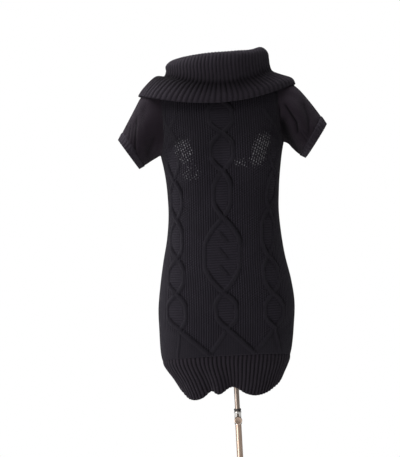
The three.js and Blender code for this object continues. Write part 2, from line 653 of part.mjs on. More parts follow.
// The collar's outer face at an angle from the front towards the right, and its place along the cloth
function collarAt(angle, along) {
  const [c, s] = [Math.cos(radians(angle)), Math.sin(radians(angle))];
  const reach = (column) => lookUp(COLLAR_REACH, "along", column, along);
  const height = (column) => lookUp(COLLAR_HEIGHT, "along", column, along);
  const x = (reach("right") - reach("left")) / 2 + ((reach("right") + reach("left")) / 2) * s;
  const y = (reach("back") - reach("front")) / 2 - ((reach("back") + reach("front")) / 2) * c;
  const z = height(c > 0 ? "front" : "back") * c * c + height(s > 0 ? "right" : "left") * s * s;
  const lump = bell(angle - COLLAR_PUFF.angle, COLLAR_PUFF.width);
  const puff = COLLAR_PUFF.height * lump * bell(along - COLLAR_PUFF.along, COLLAR_PUFF.length);
  return new THREE.Vector3(x, y, z + puff);
}

// The collar's last row stands on the panels' neckline
function necklineAt(angle) {
  const s = Math.sin(radians(angle));
  const facing = Math.cos(radians(angle)) >= 0 ? -1 : 1;
  const reach = (Math.asin(Math.min(1, Math.abs(s) ** (FULLNESS / 2))) / QUARTER) * Math.sign(s || 1);
  const point = panelAt(reach, 3, facing);
  point.z += 4 * SEAM;
  return point;
}

function collar() {
  const angles = (count) => Array.from({ length: count }, (_, i) => (360 * i) / count - 180);
  const alongs = COLLAR_REACH.map((row) => row.along);
  const step = 0.01;
  const last = alongs[alongs.length - 1];
  const out = (angle, along) => outward(collarAt, angle, limit(along, step, last - step), 1, step);
  const row = (along, columns, raise) => angles(columns).map((angle, i) => (
    raised(collarAt(angle, along), out(angle, along), raise(i))
  ));
  const seam = (columns, depth) => angles(columns).map((angle) => {
    const point = necklineAt(angle);
    const inward = new THREE.Vector3(-Math.sin(radians(angle)), Math.cos(radians(angle)), 0);
    return point.addScaledVector(inward, depth);
  });
  const rib = (i) => (i % 2 ? COLLAR_RIB_HEIGHT : 0);
  const [fine, coarse] = [COLLAR_RIBS * 2, COLLAR_RIBS / 2];
  const outer = alongs.map((along) => row(along, fine, rib));
  const inner = alongs.map((along) => row(along, coarse, () => -RIBBED_CLOTH));
  return wall([...outer, seam(fine, CLOTH)], [...inner, seam(coarse, 0)], true);
}

// The dress form: a smooth, limbless torso with a short neck
function formRing(z) {
  return Array.from({ length: FORM_COLUMNS }, (_, i) => {
    const angle = -QUARTER + (TURN * i) / FORM_COLUMNS;
    const [s, c] = [Math.sin(angle), Math.cos(angle)];
    const facing = c >= -1e-9 ? -1 : 1;
    const share = Math.sign(s) * Math.abs(s) ** (2 / FULLNESS);
    const worn = z <= FORM_EASE[FORM_EASE.length - 1].z;
    const inset = worn ? CLOTH + lookUp(FORM_EASE, "z", "ease", z) : 0;
    const at = (column) => lookUp(worn ? TORSO : FORM_UPPER, "z", column, z) - inset;
    const half = (at("left") + at("right")) / 2;
    const depth = at(facing < 0 ? "front" : "back") * Math.abs(c) ** (2 / FULLNESS);
    const chest = facing < 0 ? bust(half * share, z, BUST.formWidth) * Math.abs(c) : 0;
    return new THREE.Vector3((at("right") - at("left")) / 2 + half * share, facing * (depth + chest), z);
  });
}

const armpitInset = CLOTH + FORM_EASE[FORM_EASE.length - 1].ease;
const armpitRow = TORSO.find((row) => row.z === 1256);
const FORM_UPPER = [
  {
    z: armpitRow.z, left: armpitRow.left - armpitInset, right: armpitRow.right - armpitInset,
    front: armpitRow.front - armpitInset, back: armpitRow.back - armpitInset,
  },
  ...FORM_TOP,
];

function form() {
  const rings = FORM_HEIGHTS.map((z) => formRing(z));
  rings[0] = rings[0].map((p) => new THREE.Vector3(p.x * FORM_FOOT, p.y * FORM_FOOT, p.z));
  return stack(rings);
}

const lathe = (profile, sides = ROUND_SIDES) => {
  const geometry = new THREE.LatheGeometry(profile.map(([r, z]) => new THREE.Vector2(r, z)), sides);
  return geometry.rotateX(QUARTER);
};
const tube = ({ radius, bore, bottom, top }) => lathe([
  [bore, bottom], [radius, bottom], [radius, top], [bore, top], [bore, bottom],
]);

function flange() {
  const { radius, thickness, boss, depth } = FLANGE;
  const [top, bore] = [FORM_BOTTOM - SEAM, UPPER_TUBE.radius + SEAM];
  return lathe([
    [bore, top - depth], [boss, top - depth], [boss, top - thickness], [radius, top - thickness],
    [radius, top], [bore, top], [bore, top - depth],
  ]);
}

function base() {
  const { radius, rim, thickness, flare, flareTop, bossRadius, bossFoot, bossTop, bossEnd } = BASE;
  const bore = LOWER_TUBE.radius + SEAM;
  return lathe([
    [0, 0], [radius - rim, 0], [radius, rim], [radius - rim, thickness], [flare, flareTop],
    [bossRadius, bossFoot], [bossEnd, bossTop], [bore, bossTop], [bore, thickness], [0, thickness],
  ], BASE_SIDES);
}

// The clamp: a sleeve over the lower tube's end that narrows onto the upper tube
function clamp() {
  const { radius, bottom, top, bore, recess } = CLAMP;
  const step = LOWER_TUBE.top + SEAM;
  return lathe([
    [recess, bottom], [radius, bottom], [radius, top], [bore, top], [bore, step], [recess, step],
    [recess, bottom],
  ]);
}

// The knob: a disc on a short screw stem, whose axis is Y
function knob() {
  const { radius, thickness, bevel, stem, hub, gap, grooves } = KNOB;
  const near = gap - SEAM - thickness / 2;
  const far = near + thickness;
  const profile = [
    [0, 0], [stem, 0], [stem, near], [hub, near], [radius - bevel, near], [radius, near + bevel],
    [radius, far - bevel], [radius - bevel, far], [0, far],
  ];
  const geometry = new THREE.LatheGeometry(profile.map(([r, h]) => new THREE.Vector2(r, h)), grooves);
  return geometry.rotateX(Math.PI).translate(0, -CLAMP.radius - SEAM, KNOB.z);
}

const dress = new THREE.Group();
function add(name, geometry, material) {
  const mesh = new THREE.Mesh(geometry, material);
  mesh.name = name;
  dress.add(mesh);
}
add("front", front(), KNIT);
add("back", back(), KNIT);
add("sleeve_left", sleeve("left"), KNIT);
add("sleeve_right", sleeve("right"), KNIT);
add("cuff_left", cuff("left"), RIB_KNIT);
add("cuff_right", cuff("right"), RIB_KNIT);
add("hem_front", hem(-1), RIB_KNIT);
add("hem_back", hem(1), RIB_KNIT);
add("collar", collar(), RIB_KNIT);
add("dress_form", form(), FORM_COVER);
add("form_flange", flange(), CHROME);
add("upper_tube", tube(UPPER_TUBE), BRASSY_STEEL);
add("grip_ring", tube(GRIP_RING), RUBBER);
add("clamp", clamp(), CHROME);
add("clamp_knob", knob(), BRASSY_STEEL);
add("lower_tube", tube(LOWER_TUBE), BRASSY_STEEL);
add("base", base(), BASE_PAINT);

export default dress;
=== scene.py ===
"""A cable-knit sweater dress with a folded cowl collar, on a limbless dress form with a telescopic stand.

Tables and named sizes are in millimetres, and meshes are made in metres. +Z is up and the front faces -Y.
"""
import bisect
import math

import bmesh
import bpy
from mathutils import Matrix, Vector, noise


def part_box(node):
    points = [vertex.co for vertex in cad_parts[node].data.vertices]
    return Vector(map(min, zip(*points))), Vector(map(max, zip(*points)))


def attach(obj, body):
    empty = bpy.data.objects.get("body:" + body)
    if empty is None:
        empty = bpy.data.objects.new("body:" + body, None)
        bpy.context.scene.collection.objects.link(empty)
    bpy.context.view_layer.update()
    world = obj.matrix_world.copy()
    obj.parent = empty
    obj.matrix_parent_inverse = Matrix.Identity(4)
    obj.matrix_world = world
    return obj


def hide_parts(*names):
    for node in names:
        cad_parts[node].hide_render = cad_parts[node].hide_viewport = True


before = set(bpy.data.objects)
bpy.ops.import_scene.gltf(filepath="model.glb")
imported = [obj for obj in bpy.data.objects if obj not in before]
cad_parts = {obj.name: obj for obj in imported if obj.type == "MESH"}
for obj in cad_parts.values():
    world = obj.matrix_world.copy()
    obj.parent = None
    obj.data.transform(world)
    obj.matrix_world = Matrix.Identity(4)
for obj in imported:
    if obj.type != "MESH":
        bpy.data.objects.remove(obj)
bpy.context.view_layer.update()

MM = 0.001
TURN = math.tau
QUARTER = math.pi / 2
SIDES = ("left", "right", "front", "back")


def table(columns, *rows):
    """Rows of numbers as dicts, with the names of their columns in one text."""
    return [dict(zip(columns.split(), row)) for row in rows]


# Cloth: the gap at a seam, the walls' thickness, and how full the torso's cross-sections are
SEAM = 0.3
CLOTH = 2.5
RIBBED_CLOTH = 3
FULLNESS = 2.25

# The dress's outer surface at each height: how far its left, right, front and back are from the pole's axis
TORSO = table(
    "z left right front back",
    (620, 130, 92, 84, 86), (640, 138, 103, 86, 88), (660, 149, 115, 89, 92), (680, 161, 125, 92, 96),
    (700, 175, 135, 96, 100), (720, 186, 143, 100, 104), (745, 191, 150, 104, 108),
    (800, 192, 158, 108, 116), (860, 191, 163, 110, 120), (920, 183, 157, 108, 119),
    (980, 172, 145, 103, 110), (1040, 159, 138, 98, 98), (1100, 152, 135, 95, 89),
    (1160, 152, 139, 98, 89), (1210, 156, 145, 105, 92), (1256, 164, 153, 107, 95),
    (1300, 173, 164, 102, 94), (1350, 184, 174, 92, 89), (1385, 190, 181, 82, 83),
    (1400, 190, 181, 77, 80), (1430, 178, 170, 64, 70), (1447, 160, 152, 54, 60),
    (1456, 116, 106, 46, 52),
)
BUST = dict(apart=88, z=1240, reach=15, cloth_width=60, form_width=44, height=56)

# The heights of a body panel's hem seam, armpit, shoulder and neck, at its centre line and its edges
FRONT_ROWS = table(
    "centre left right",
    (738, 722, 722), (1250, 1256, 1275), (1384, 1447, 1447), (1402, 1456, 1456),
)
BACK_ROWS = table(
    "centre left right",
    (738, 722, 722), (1250, 1256, 1275), (1420, 1447, 1447), (1438, 1456, 1456),
)
HEM_SEAM, ARMPIT, SHOULDER = FRONT_ROWS[:3]
ARMHOLE = table(
    "rise share",
    (0, 1), (0.03, 0.965), (0.1, 0.925), (0.25, 0.875), (0.5, 0.82), (0.75, 0.81), (0.9, 0.87), (1, 1),
)
# How much closer together the rows' ends start at the armpit
ARMHOLE_CLIMB = 1.35

# The front's left, middle and right cables. Each row is a crossing of a cable's two strands: its height z,
# and its distance s along the cloth from the front's centre line. In the loop below it, swing is how far out
# each strand lies, and bow is how far right the loop's middle is.
STRAND = dict(height=3.2, half=5.8, over=0.4, groove=1.2, ramp=0.73, corner=1.6, side=0.76)
CABLES = [
    table(
        "z s swing bow",
        (1416, -129, 17, 1), (1316, -140, 24, -2), (1188, -139, 20, 2), (1087, -132, 21, -5),
        (987, -127, 24, -5), (898, -133, 28, -7), (808, -125, 0, 0),
    ),
    table(
        "z s swing bow",
        (1388, -4, 30, 1), (1300, 0, 28, -1), (1205, -2, 22, -2), (1087, -4, 44, 0), (898, -10, 26, 2),
        (807, 0, 0, 0),
    ),
    table(
        "z s swing bow",
        (1424, 127, 20, 2), (1324, 135, 20, 8), (1204, 141, 18, 4), (1106, 120, 20, -1),
        (983, 114, 22, 3), (888, 120, 26, 1), (802, 124, 0, 0),
    ),
]
# Where the two strands of each cable end, above the hem rib
LATTICE = dict(foot=745, ends=[(-130, -49), (-42, 64), (71, 140)])
# The slanting strands inside the large middle loop
BRAID = dict(s=-7, top=1060, bottom=932, count=3, reach=15.6, half=5, height=2, slope=0.75)

# Ribbed hem: its lower edge's height and how far it stands out, by the angle from the front to the right
HEM_RIBS = 40
HEM_RIB_HEIGHT = 2.6
HEM_EDGE = table(
    "angle z out",
    (-90, 652, 0), (-75, 646, 2), (-62, 631, 4), (-46, 626, 7), (-34, 631, 2), (-21, 648, -9),
    (-11, 640, 3), (2, 656, -14), (17, 638, 0), (29, 632, 7), (48, 637, 4), (60, 646, 2), (71, 654, 1),
    (90, 669, 0), (112, 655, 5), (131, 641, 7), (150, 658, -10), (174, 637, 8), (198, 655, -11),
    (226, 636, 7), (248, 645, 3), (270, 652, 0),
)

# The collar's outer face, from its loose lower edge up, over the fold and down inside to the neckline seam:
# its distances from the pole's axis, and its heights there
COLLAR_RIB_PITCH = 10
COLLAR_RIB_HEIGHT = 2.2
COLLAR_LENGTH = 246
COLLAR_REACH = table(
    "along left right front back",
    (0, 213, 195, 96, 100), (0.1, 198, 186, 97, 99), (0.2, 166, 157, 95, 96), (0.28, 144, 137, 92, 92),
    (0.38, 136, 130, 103, 98), (0.5, 136, 128, 108, 101), (0.59, 128, 126, 104, 98),
    (0.65, 117, 115, 94, 88), (0.72, 108, 105, 84, 79), (0.86, 105, 99, 77, 70),
)
COLLAR_HEIGHT = table(
    "along left right front back",
    (0, 1413, 1423, 1377, 1398), (0.1, 1433, 1438, 1393, 1413), (0.2, 1460, 1449, 1414, 1431),
    (0.28, 1459, 1458, 1429, 1442), (0.38, 1472, 1472, 1446, 1459), (0.5, 1485, 1491, 1474, 1483),
    (0.59, 1494, 1506, 1495, 1500), (0.65, 1498, 1511, 1504, 1508), (0.72, 1490, 1500, 1494, 1498),
    (0.86, 1472, 1474, 1452, 1470),
)
# The band of painted shade in the fold between the collar's roll and its flap
COLLAR_FOLD = dict(along=0.24, width=0.11)
COLLAR_PUFF = dict(angle=68, width=17, along=0.64, length=0.07, height=7)

# Sleeves, from the armhole out. Near the armhole a sleeve is held to the panels' edge, off by a small gap.
CUFF_FROM = 0.8
ARMHOLE_GAP = 1.2
SLEEVE_HOLD = dict(length=0.42, bend=1.6)
SLEEVE = {
    "left": table(
        "along top_x top_z under_x under_z front back",
        (0, -166, 1447, -170, 1257, 58, 58), (0.25, -197, 1424, -179, 1250, 66, 64),
        (0.5, -222, 1386, -190, 1243, 67, 62), (0.8, -259, 1323, -206, 1234, 63, 58),
        (1, -271, 1302, -222, 1226, 60, 55),
    ),
    "right": table(
        "along top_x top_z under_x under_z front back",
        (0, 157, 1447, 160, 1276, 58, 58), (0.25, 187, 1426, 170, 1270, 66, 64),
        (0.5, 217, 1393, 181, 1256, 67, 62), (0.8, 256, 1338, 197, 1241, 63, 58),
        (1, 270, 1315, 213, 1232, 60, 55),
    ),
}
SLEEVE_FOLDS = {
    "left": table("angle drift width depth", (118, 8, 13, -5)),
    "right": table(
        "angle drift width depth",
        (92, -34, 12, -8), (136, -30, 12, -7),
    ),
}
CUFF_RIBS = 30
CUFF_RIB_HEIGHT = 1.9

# Dress form: how far it lies inside the cloth up to the armpits, and its own surface from there to the neck
FORM_EASE = table(
    "z ease",
    (742, 5), (800, 2), (860, 1.5), (900, 1.5), (980, 4), (1040, 9), (1100, 13), (1160, 9), (1205, 3),
    (1240, 1.5), (1256, 2),
)
FORM_TOP = table(
    "z left right front back",
    (1256, 159.5, 148.5, 102.5, 90.5), (1300, 161, 152, 93, 86), (1350, 172, 162, 82, 80),
    (1390, 178, 168, 71, 73), (1412, 172, 162, 61, 66), (1428, 152, 142, 55, 60), (1440, 115, 105, 51, 56),
    (1448, 84, 74, 50, 54), (1460, 66, 56, 49, 52), (1476, 61, 51, 47, 50), (1484, 55, 45, 41, 44),
)
FORM_BOTTOM = 742

# How finely the cloth is made: columns, then rows. A panel's rows are below the armpit, beside the armhole
# and at the shoulder. In the cuffs, the hem and the collar, the columns are for each rib.
FRONT_GRID = (216, 152, 48, 6)
BACK_GRID = (120, 110, 34, 5)
SLEEVE_GRID = (144, 76)
FORM_GRID = (96, 150)
CUFF_GRID = (8, 12)
HEM_GRID = (8, 30)
COLLAR_GRID = (6, 58)


def mix(a, b, share):
    return a + (b - a) * share


def clamp(value, low, high):
    return max(low, min(high, value))


def bell(distance, width):
    return math.exp(-((distance / width) ** 2))


def smooth(value):
    value = clamp(value, 0, 1)
    return value * value * (3 - 2 * value)


def sin_cos(degrees):
    """An angle's sine and cosine."""
    return math.sin(math.radians(degrees)), math.cos(math.radians(degrees))


def step_in(rising, value):
    """The step of a rising list that holds a value, and how far through the step it is."""
    i = clamp(bisect.bisect_left(rising, value) - 1, 0, len(rising) - 2)
    return i, clamp((value - rising[i]) / (rising[i + 1] - rising[i]), 0, 1)


def look_up(rows, by, column, value):
    """A smooth curve through one column of a table, looked up by another column, which rises."""
    i, t = step_in([row[by] for row in rows], value)

    def slope(k):
        a, b = rows[max(k - 1, 0)], rows[min(k + 1, len(rows) - 1)]
        return (b[column] - a[column]) / (b[by] - a[by])

    span = rows[i + 1][by] - rows[i][by]
    p, q = rows[i][column], rows[i + 1][column]
    m, n = slope(i) * span, slope(i + 1) * span
    before, after = p * (1 + 2 * t) + m * t, q * (3 - 2 * t) + n * (t - 1)
    return before * (1 - t) ** 2 + after * t ** 2


class Curve:
    """One column of a table, kept at close steps so that it is quick to look up."""

    def __init__(self, rows, by, column, steps=600):
        self.low, self.high, self.steps = rows[0][by], rows[-1][by], steps
        places = [mix(self.low, self.high, i / steps) for i in range(steps + 1)]
        self.values = [look_up(rows, by, column, place) for place in places]

    def __call__(self, value):
        place = clamp((value - self.low) / (self.high - self.low), 0, 1) * self.steps
        i = min(int(place), self.steps - 1)
        return mix(self.values[i], self.values[i + 1], place - i)


def side_curves(rows, by):
    return {side: Curve(rows, by, side) for side in SIDES}


torso_side = side_curves(TORSO, "z")
armhole_share = Curve(ARMHOLE, "rise", "share")
hem_z = Curve(HEM_EDGE, "angle", "z")
hem_out = Curve(HEM_EDGE, "angle", "out")
collar_reach = side_curves(COLLAR_REACH, "along")
collar_height = side_curves(COLLAR_HEIGHT, "along")
form_ease = Curve(FORM_EASE, "z", "ease")
form_top = side_curves(FORM_TOP, "z")
sleeve_side = {
    side: {column: Curve(rows, "along", column) for column in rows[0] if column != "along"}
    for side, rows in SLEEVE.items()
}


def half_width(z):
    return (torso_side["left"](z) + torso_side["right"](z)) / 2


def centre_x(z):
    return (torso_side["right"](z) - torso_side["left"](z)) / 2


def bust(x, z, width):
    return BUST["reach"] * bell(abs(x) - BUST["apart"], width) * bell(z - BUST["z"], BUST["height"])


def torso_at(x, z, facing):
    """The torso's surface at a distance from its centre line, on the front (-1) or the back (1)."""
    share = min(abs(x) / half_width(z), 1)
    depth = torso_side["front" if facing < 0 else "back"](z) * (1 - share ** FULLNESS) ** (1 / FULLNESS)
    if facing < 0:
        depth += bust(x, z, BUST["cloth_width"]) * math.sqrt(1 - share ** 4)
    return Vector((centre_x(z) + x, facing * depth, z))


def row_heights(row, side, facing):
    """A row's heights at its centre line and one edge: 0 hem seam, 1 armpit, 2 shoulder and 3 neck."""
    rows = FRONT_ROWS if facing < 0 else BACK_ROWS
    step = min(int(row), 2)
    share = row - step
    climb = share ** ARMHOLE_CLIMB if step == 1 else share
    low, high = rows[step], rows[step + 1]
    seam = SEAM / 2 * (1 - share) if step == 0 else 0
    return mix(low["centre"], high["centre"], share) + seam, mix(low[side], high[side], climb) + seam


def edge_x(z, side):
    low, high = ARMPIT[side], SHOULDER[side]
    if z <= low or z >= high:
        return half_width(z)
    return half_width(z) * armhole_share((z - low) / (high - low))


def panel_at(across, row, facing):
    """A body panel's plain surface: across is -1 at its left edge and 1 at its right edge."""
    side = "left" if across < 0 else "right"
    centre, edge = row_heights(row, side, facing)
    q = min(abs(across), 1)
    z = mix(centre, edge, q * q)
    widest = edge_x(edge, side)
    if row < 1:
        widest = min(widest, edge_x(z, side))
    x = widest * math.sin(QUARTER * q) ** (2 / FULLNESS)
    point = torso_at(math.copysign(x, across), z, facing)
    point.y += facing * SEAM / 2
    return point


def lengths_along(points):
    """How far along a line of points each one is."""
    far = [0]
    for before, after in zip(points, points[1:]):
        far.append(far[-1] + (after - before).length)
    return far


def along_curve(place, start, end, samples=360):
    """A curve's angles by their share of its length, so that ribs lie evenly on it, and its length."""
    angles = [mix(start, end, i / samples) for i in range(samples + 1)]
    far = lengths_along([place(angle) for angle in angles])

    def angle_of(share):
        i, part = step_in(far, share * far[-1])
        return mix(angles[i], angles[i + 1], part)

    return angle_of, far[-1]


class PanelRow:
    """One row of a panel, with its places by their length along the cloth from the centre line."""

    def __init__(self, row, facing, samples=80):
        self.row = row
        self.places = [mix(-1, 1, i / samples) for i in range(samples + 1)]
        far = lengths_along([panel_at(q, row, facing) for q in self.places])
        self.lengths = [length - far[samples // 2] for length in far]
        self.left, self.right = self.lengths[0], self.lengths[-1]

    def place(self, s):
        i, part = step_in(self.lengths, s)
        return mix(self.places[i], self.places[i + 1], part)


def sleeve_surface(side, around, along):
    at = {column: curve(along) for column, curve in sleeve_side[side].items()}
    s, c = sin_cos(around)
    depth = at["front"] if s > 0 else at["back"]
    x = mix(at["top_x"], at["under_x"], (1 + c) / 2)
    z = mix(at["top_z"], at["under_z"], (1 + c) / 2)
    return Vector((x, -depth * s, z))


def armhole_at(side, around):
    """The sleeve's edge in the armhole: the panels' edge, moved off by the seam's gap."""
    edge = -1 if side == "left" else 1
    around %= 360
    if around <= 180:
        row, facing = 1 + around / 180, -1
    else:
        row, facing = 2 - (around - 180) / 180, 1
    point = panel_at(edge, row, facing)
    point.x -= edge * ARMHOLE_GAP
    return point


def sleeve_fold(side, around, along):
    swell = math.sin(math.pi * min(1, along / CUFF_FROM))
    return sum(
        fold["depth"] * bell(around - fold["angle"] - fold["drift"] * along, fold["width"]) * swell
        for fold in SLEEVE_FOLDS[side]
    )


def sleeve_at(side, around, along):
    free = sleeve_surface(side, around, along)
    hold = max(0, 1 - along / SLEEVE_HOLD["length"]) ** SLEEVE_HOLD["bend"]
    return free.lerp(armhole_at(side, around), hold)


def hem_at(angle, drop, facing):
    q = angle / 90 if facing < 0 else (180 - angle) / 90
    top = mix(HEM_SEAM["centre"], HEM_SEAM["left"], q * q) - SEAM * 2
    z = mix(top, hem_z(angle), drop)
    share = math.copysign(math.sin(QUARTER * min(abs(q), 1)) ** (2 / FULLNESS), q)
    point = torso_at(share * half_width(z), z, facing)
    s, c = sin_cos(angle)
    point += Vector((s, -c, 0)) * hem_out(angle) * drop ** 1.5
    point.y += facing * SEAM / 2
    return point


def collar_at(angle, along):
    s, c = sin_cos(angle)
    left, right, front, back = (collar_reach[side](along) for side in SIDES)
    x = (right - left) / 2 + (right + left) / 2 * s
    y = (back - front) / 2 - (back + front) / 2 * c
    z = collar_height["front" if c > 0 else "back"](along) * c * c
    z += collar_height["right" if s > 0 else "left"](along) * s * s
    turned = (angle + 180) % 360 - 180
    lump = bell(turned - COLLAR_PUFF["angle"], COLLAR_PUFF["width"])
    z += COLLAR_PUFF["height"] * lump * bell(along - COLLAR_PUFF["along"], COLLAR_PUFF["length"])
    return Vector((x, y, z))


def neckline_at(angle):
    s, c = sin_cos(angle)
    facing = -1 if c >= 0 else 1
    reach = math.copysign(math.asin(min(1, abs(s) ** (FULLNESS / 2))) / QUARTER, s)
    point = panel_at(reach, 3, facing)
    point.z += 4 * SEAM
    return point


# Making cloth

def add_to_scene(name, data):
    thing = bpy.data.objects.new(name, data)
    bpy.context.scene.collection.objects.link(thing)
    return thing


def finish_piece(name, bm, material, body, slot, replaced):
    """Turns a bmesh in metres into a smooth piece that rides on a body and stands for its solids."""
    mesh = bpy.data.meshes.new(name)
    bm.to_mesh(mesh)
    bm.free()
    mesh.shade_smooth()
    mesh.materials.append(material)
    piece = add_to_scene(name, mesh)
    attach(piece, body)
    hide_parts(*replaced)
    return piece


def cloth_piece(name, bm, material, slot, replaced, thickness):
    """A piece of cloth, which goes with the form and has its wall inwards."""
    piece = finish_piece(name, bm, material, "form", slot, replaced)
    wall = piece.modifiers.new("Wall", "SOLIDIFY")
    wall.thickness = thickness * MM
    wall.offset = -1
    wall.use_quality_normals = True
    return piece


def lay_cloth(bm, lengths):
    """The cloth's UV map, from each vertex's place along the cloth in metres."""
    layer = bm.loops.layers.uv.new("cloth")
    for face in bm.faces:
        for loop in face.loops:
            loop[layer].uv = lengths[loop.vert.index]


# What the yarn's material reads off each point: ladder, strand, stretch, and a furrow mark that it darkens
# with painted shade
MARKS = ("ladder", "strand", "stretch", "furrow_and_shade")


def knitted(columns, rows, place, relief, marks=None, around=False):
    """A knitted wall's outer face, from a grid: place(u, v) gives points and cloth lengths in millimetres.

    relief(u, v) is how far a point is raised, and marks(u, v) gives numbers that the yarn's material reads.
    """
    bm = bmesh.new()
    bmesh.ops.create_grid(bm, x_segments=columns, y_segments=rows, size=0.5)
    u_layer = bm.verts.layers.float.new("u")
    v_layer = bm.verts.layers.float.new("v")
    mark_layers = [bm.verts.layers.float.new(mark) for mark in MARKS]
    lengths = {}
    for vert in bm.verts:
        u, v = vert.co.x + 0.5, vert.co.y + 0.5
        vert[u_layer], vert[v_layer] = u, v
        point, s, t = place(u, v)
        vert.co = point * MM
        lengths[vert.index] = (s * MM, t * MM)
        if marks:
            for layer, value in zip(mark_layers, marks(u, v)):
                vert[layer] = value
    lay_cloth(bm, lengths)
    if around:
        bmesh.ops.remove_doubles(bm, verts=bm.verts, dist=1e-6)
    bm.normal_update()
    moves = [(vert, vert.normal * relief(vert[u_layer], vert[v_layer]) * MM) for vert in bm.verts]
    for vert, move in moves:
        vert.co += move
    bm.normal_update()
    return bm


def rib(turns, sharp=0.75):
    """A rib's rounded height, from 0 in the furrow to 1 on its crest, after a number of ribs."""
    return abs(math.cos(math.pi * turns)) ** sharp


def uneven(u, v, scale, seed):
    return noise.noise(Vector((u * scale, v * scale, seed)))


def uneven_round(u, rise, reach, seed, scale=1):
    """The same on a ring, where it meets itself."""
    return uneven(math.cos(TURN * u) * reach, math.sin(TURN * u) * reach + rise, scale, seed)


# The front's cables

def strands(cable, z):
    """A cable's two strands at a height, as distances along the cloth from the front's centre line."""
    rows = CABLES[cable]
    last = rows[-1]
    if z < last["z"]:
        spread = min((last["z"] - z) / (last["z"] - LATTICE["foot"]), 1)
        return tuple(mix(last["s"], end, spread) for end in LATTICE["ends"][cable])
    i = 0
    while i < len(rows) - 2 and z < rows[i + 1]["z"]:
        i += 1
    share = max(0, (rows[i]["z"] - z) / (rows[i]["z"] - rows[i + 1]["z"]))
    middle = mix(rows[i]["s"], rows[i + 1]["s"], share) + rows[i]["bow"] * math.sin(math.pi * share)
    near = 1 - abs(2 * share - 1)
    reach = rows[i]["swing"] * (1 - max(0, 1 - near / STRAND["ramp"]) ** STRAND["corner"])
    return middle - reach, middle + reach


def rope_relief(distances, over, half, height):
    """Two strands of a rope: the one on top is whole, and the other goes down beside it."""
    above, below = abs(distances[over]), abs(distances[1 - over])
    top = height * (1 - (above / half) ** 3) ** 0.8 if above < half else 0
    low = height * (1 - (below / half) ** 3) ** 0.8 if below < half else 0
    return top, low * smooth((above - 0.8 * half) / (0.5 * half))


# How far above a place a strand's slope is read, and how steep it may be
STEP = 2
STEEPEST = 1.4
# Below the lattice the ground is plain knit. On the chest, which isn't stretched, all is flatter, and the
# side cables are the flattest; below the collar the chest gets painted shade.
PLAIN_GROUND = 0.75
CHEST = {"from": 1225, "ramp": 60, "flatter": 0.4, "sides": 0.5, "shade": 0.44}


def cable_relief(s, z):
    """The front's raised height at a place, and its marks: strand, ladder, and the groove beside a strand,
    which also carries painted shade there and over the chest.
    """
    height, strand, ladder, plain, furrow_and_shade = 0, 0, 0, 0, 0
    half = STRAND["half"]
    flatter = smooth((z - CHEST["from"]) / CHEST["ramp"])
    for cable in (0, 1, 2):
        low, high = strands(cable, z)
        below = smooth((CABLES[cable][-1]["z"] - z) / 10)
        inside = min(s - low if cable > 0 else half * 3, high - s if cable < 2 else half * 3)
        plain = max(plain, below * smooth((inside - 5) / 4))
        if not low - 20 < s < high + 20:
            continue
        above = strands(cable, z + STEP)
        slopes = [clamp((up - at) / STEP, -STEEPEST, STEEPEST) for up, at in zip(above, (low, high))]
        slants = [smooth(abs(slope) / 0.4) for slope in slopes]
        stitch = 0.5 * uneven(s, z, 0.11, 4.2)
        distances = [
            ((s - at) / math.hypot(1, slope) + stitch) / mix(STRAND["side"], 1, slant)
            for at, slope, slant in zip((low, high), slopes, slants)
        ]
        nearest = min((row["z"] for row in CABLES[cable]), key=lambda crossing: abs(crossing - z))
        over = 0 if z > nearest else 1
        top, under = rope_relief(distances, over, half, STRAND["height"])
        close = bell(high - low, 26)
        shown = 1 if cable == 1 else 1 - CHEST["sides"] * flatter
        top *= shown * mix(0.5, 1, slants[over]) * (1 + STRAND["over"] * close)
        under *= shown * mix(0.5, 0.72, slants[1 - over])
        height = max(height, top, under)
        strand = max(strand, smooth(max(top, under) / STRAND["height"] * 1.6))
        ladder = max(ladder, shown * (1 - below) * smooth((min(s - low, high - s) - 5) / 4))
        # The groove beside each strand, with painted shade in it, heaviest on the right of strands that
        # slant down to the right, away from the key light
        for distance, slope in zip(distances, slopes):
            beside = bell(abs(distance) - half - 1, 1.7)
            shaded = 0.2 + 0.8 * smooth(-slope / 0.5) * (distance > 0)
            furrow_and_shade = max(furrow_and_shade, shown * beside * shaded * (1 - strand))
    across, foot, head = s - BRAID["s"], BRAID["bottom"], BRAID["top"]
    if abs(across) < 24 and foot < z < head:
        pitch = (head - foot) / BRAID["count"]
        nearest = math.floor((z - foot) / pitch)
        ends = smooth((z - foot) / 10) * smooth((head - z) / 10)
        for turn in (nearest - 1, nearest, nearest + 1):
            middle = foot + (turn + 0.5) * pitch
            off = (across + (z - middle) * BRAID["slope"]) / math.hypot(1, BRAID["slope"])
            along = (z - middle) / BRAID["reach"]
            whole = smooth((1.1 - abs(along)) / 0.5)
            top = BRAID["height"] * bell(off, BRAID["half"] * 0.75) * whole * ends
            height = max(height, top)
            strand = max(strand, smooth(top / BRAID["height"] * 1.5))
            # Painted shade in the groove beside each braid strand
            beside = bell(off - BRAID["half"] - 0.6, 1.5) * smooth((1.1 - abs(along)) / 0.4)
            furrow_and_shade = max(furrow_and_shade, 0.8 * beside * (1 - strand) * ends)
    # The grooves are cut along the furrow mark, and painted shade is added over the chest below the collar
    height = (height - STRAND["groove"] * furrow_and_shade) * (1 - CHEST["flatter"] * flatter)
    furrow_and_shade = furrow_and_shade * (1 - CHEST["flatter"] * flatter) + CHEST["shade"] * flatter
    return height, max(strand, PLAIN_GROUND * plain), ladder, furrow_and_shade


